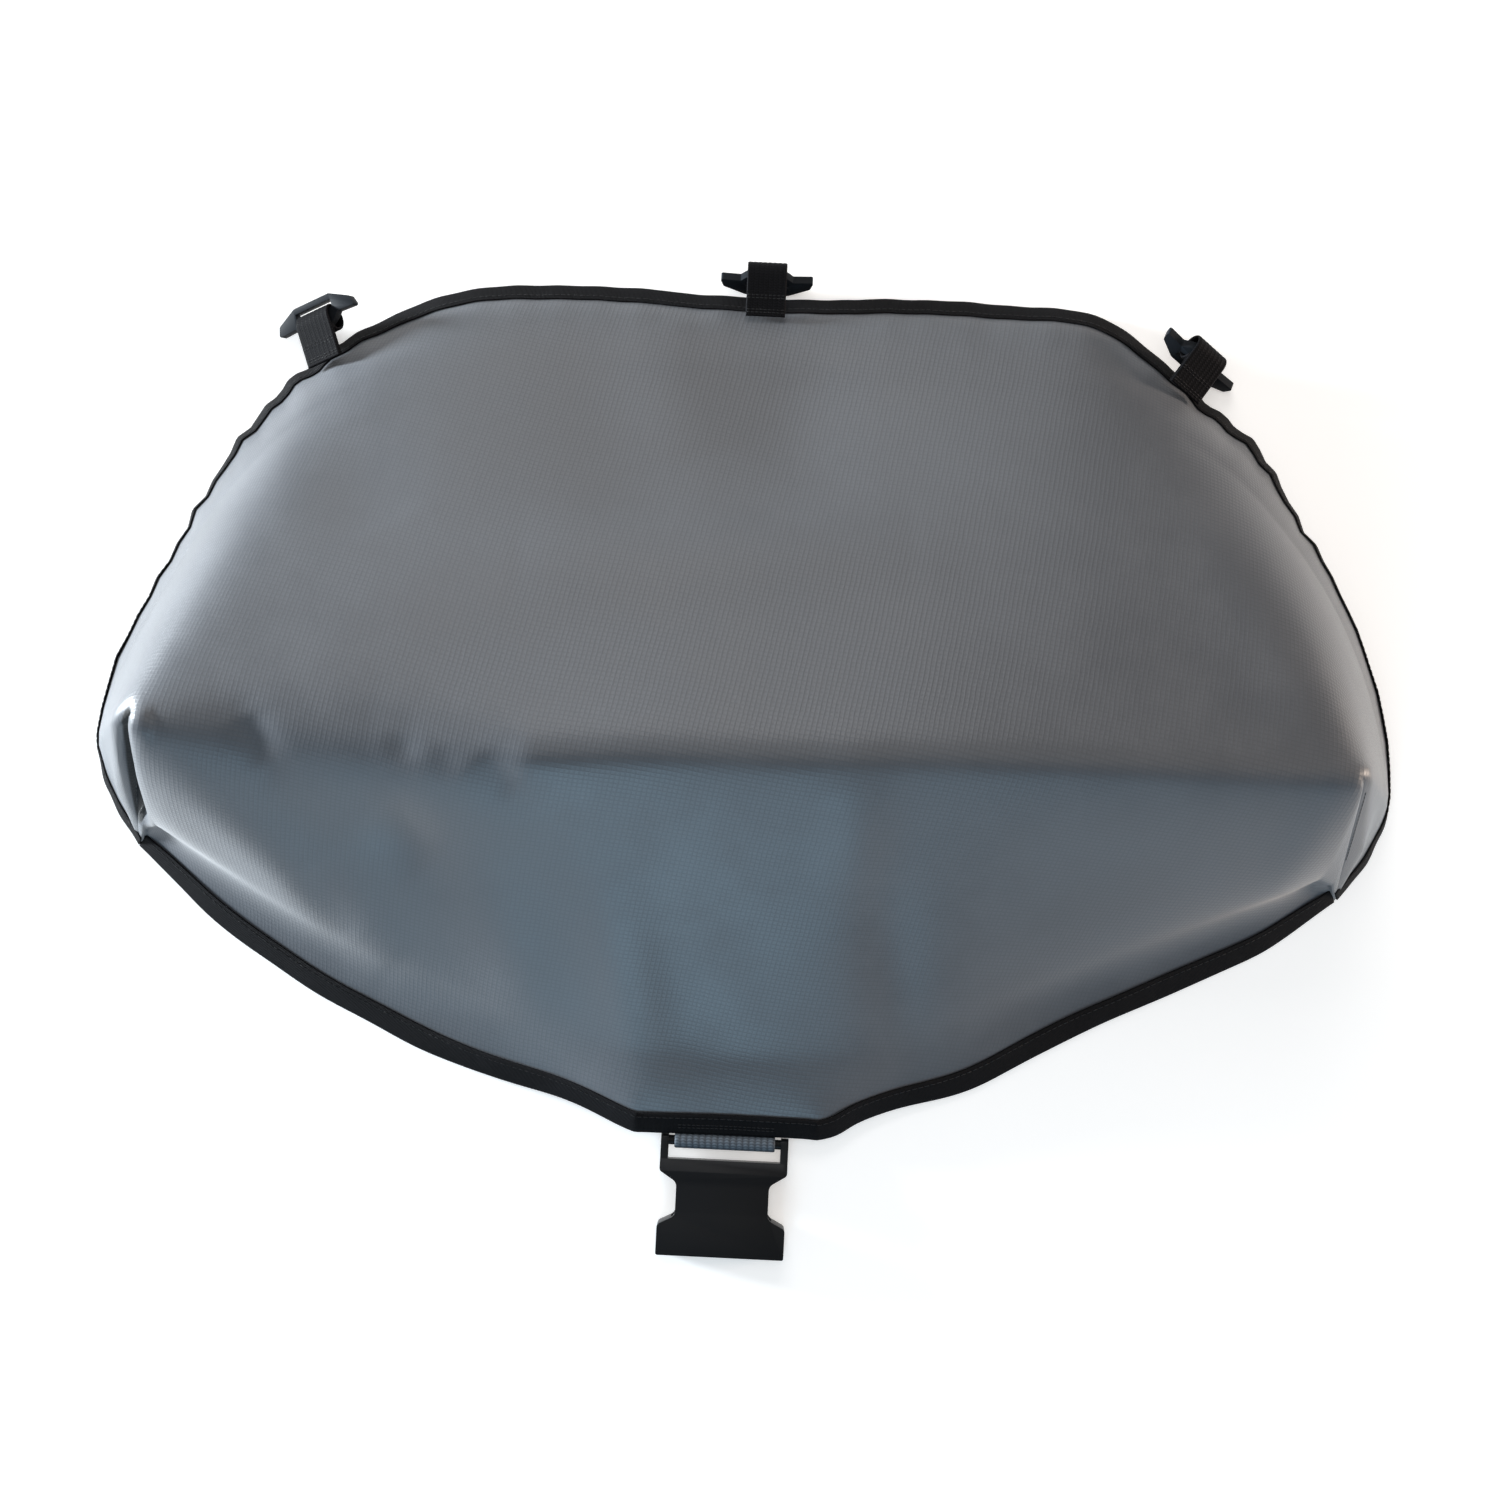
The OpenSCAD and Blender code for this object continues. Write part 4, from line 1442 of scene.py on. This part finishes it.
@dataclass
class Studio:
    """The camera, a pale floor and soft light."""

    camera_at: tuple[float, float, float] = (0.0030, -0.052, 1.053)
    view_tilt: float = 0.052
    roll: float = math.radians(2.8)
    lens: float = 49.9
    lamps: tuple[Lamp, ...] = (
        Lamp("window", (-2.4, 0.5, 0.22), (0, 0, 0.05), 0.42, 212, (0.88, 0.95, 1.0)),
        Lamp("front_window", (-0.2, -2.2, 0.75), (0, -0.1, 0.05), 1.2, 25, (0.50, 0.78, 1.0)),
        Lamp("rear_fill", (-0.3, 2.4, 1.7), (0, 0, 0), 1.6, 28, (1.0, 0.96, 0.92)),
        Lamp("right_fill", (2.3, 0.3, 0.24), (0, 0, 0.05), 0.45, 46, (1.0, 0.82, 0.68)),
        Lamp("overhead", (0.1, 0.2, 2.4), (0, 0, 0), 2.0, 14, (1.0, 0.98, 0.95)),
    )
    view: str = "Standard"
    sensor: float = 36.0
    clip: Spot = (0.05, 20.0)
    floor_half: float = 6
    floor_colour: tuple[float, float, float, float] = (0.92, 0.92, 0.92, 1.0)
    floor_rough: float = 0.9
    floor_glow: tuple[float, float, float, float] = (1.0, 0.985, 0.965, 1.0)
    floor_glow_level: float = 0.35
    sky: tuple[float, float, float, float] = (0.95, 0.97, 1.0, 1.0)
    sky_level: float = 0.22

    def camera(self) -> None:
        """Makes the camera, looking down and slightly towards the rear."""
        data = bpy.data.cameras.new("camera")
        data.sensor_width, data.lens = self.sensor, self.lens
        data.clip_start, data.clip_end = self.clip
        cam = linked("camera", data)
        back = Vector((0, -self.view_tilt, 1)).normalized()
        up = Vector((-math.sin(self.roll), math.cos(self.roll), 0))
        right = up.cross(back).normalized()
        up = back.cross(right)
        turn = Matrix((right, up, back)).transposed().to_4x4()
        cam.matrix_world = Matrix.Translation(Vector(self.camera_at)) @ turn
        bpy.context.scene.camera = cam

    def floor(self) -> Thing:
        """Makes the floor and its plain pale finish."""
        mesh = bpy.data.meshes.new("floor")
        half = self.floor_half
        corners = [(-half, -half, 0), (half, -half, 0), (half, half, 0), (-half, half, 0)]
        mesh.from_pydata(corners, [], [(0, 1, 2, 3)])
        made = linked("floor", mesh)
        pale = Recipe("pale_floor").finish(
            Base_Color=self.floor_colour,
            Roughness=self.floor_rough,
            Emission_Color=self.floor_glow,
            Emission_Strength=self.floor_glow_level,
        )
        made.data.materials.append(pale)
        return made

    def light(self) -> None:
        """Adds the lamps and an even pale surrounding."""
        for lamp in self.lamps:
            lamp.light()
        world = bpy.data.worlds.new("surrounding")
        world.use_nodes = True
        back = world.node_tree.nodes["Background"]
        back.inputs["Color"].default_value = self.sky
        back.inputs["Strength"].default_value = self.sky_level
        bpy.context.scene.world = world
        bpy.context.scene.view_settings.view_transform = self.view


# ---------------------------------------------------------------- the whole


def main() -> None:
    """Builds the sub-assemblies in order."""
    logging.basicConfig(level=logging.INFO, format="%(name)s %(message)s")
    studio = Studio()
    studio.camera()
    floor = studio.floor()
    studio.light()

    shape = CoverShape(folds=FOLDS, pulls=PULLS)
    cover = Cover(shape)
    stitches = StitchMaker()
    thread, tape = THREAD.make(), TAPE.make()
    cover.panel(floor)
    for edge in Edge:
        cover.binding(edge, tape)
        name, lines = f"binding_thread_{edge.value}", cover.seam_lines(edge)
        stitches.sew(name, lines, thread, "cover", f"binding_stitch_{edge.value}")
    webbing, toggle = WEBBING.make(), TOGGLE.make()
    for tab in (
        Tab(Place.LEFT, (-225, 420 - 24 - shape.y_mid, 12.8), 20, -24, 0),
        Tab(Place.CENTRE, (0, 420 + 11.7 - shape.y_mid, 11.8), 0, 0, 7),
        Tab(Place.RIGHT, (222, 420 - 20 - shape.y_mid, 15.2), -32, 22, 4),
    ):
        tab.build(webbing, thread, toggle, stitches)
    BuckleEnd().build(shape, STRAP.make(), thread, BUCKLE.make(), stitches)
    for side in ("left", "right"):
        line = cover.dart_line(side == "right")
        stitches.sew(f"dart_thread_{side}", [line], thread, "cover", f"dart_stitch_{side}")


if __name__ == "__main__":
    main()
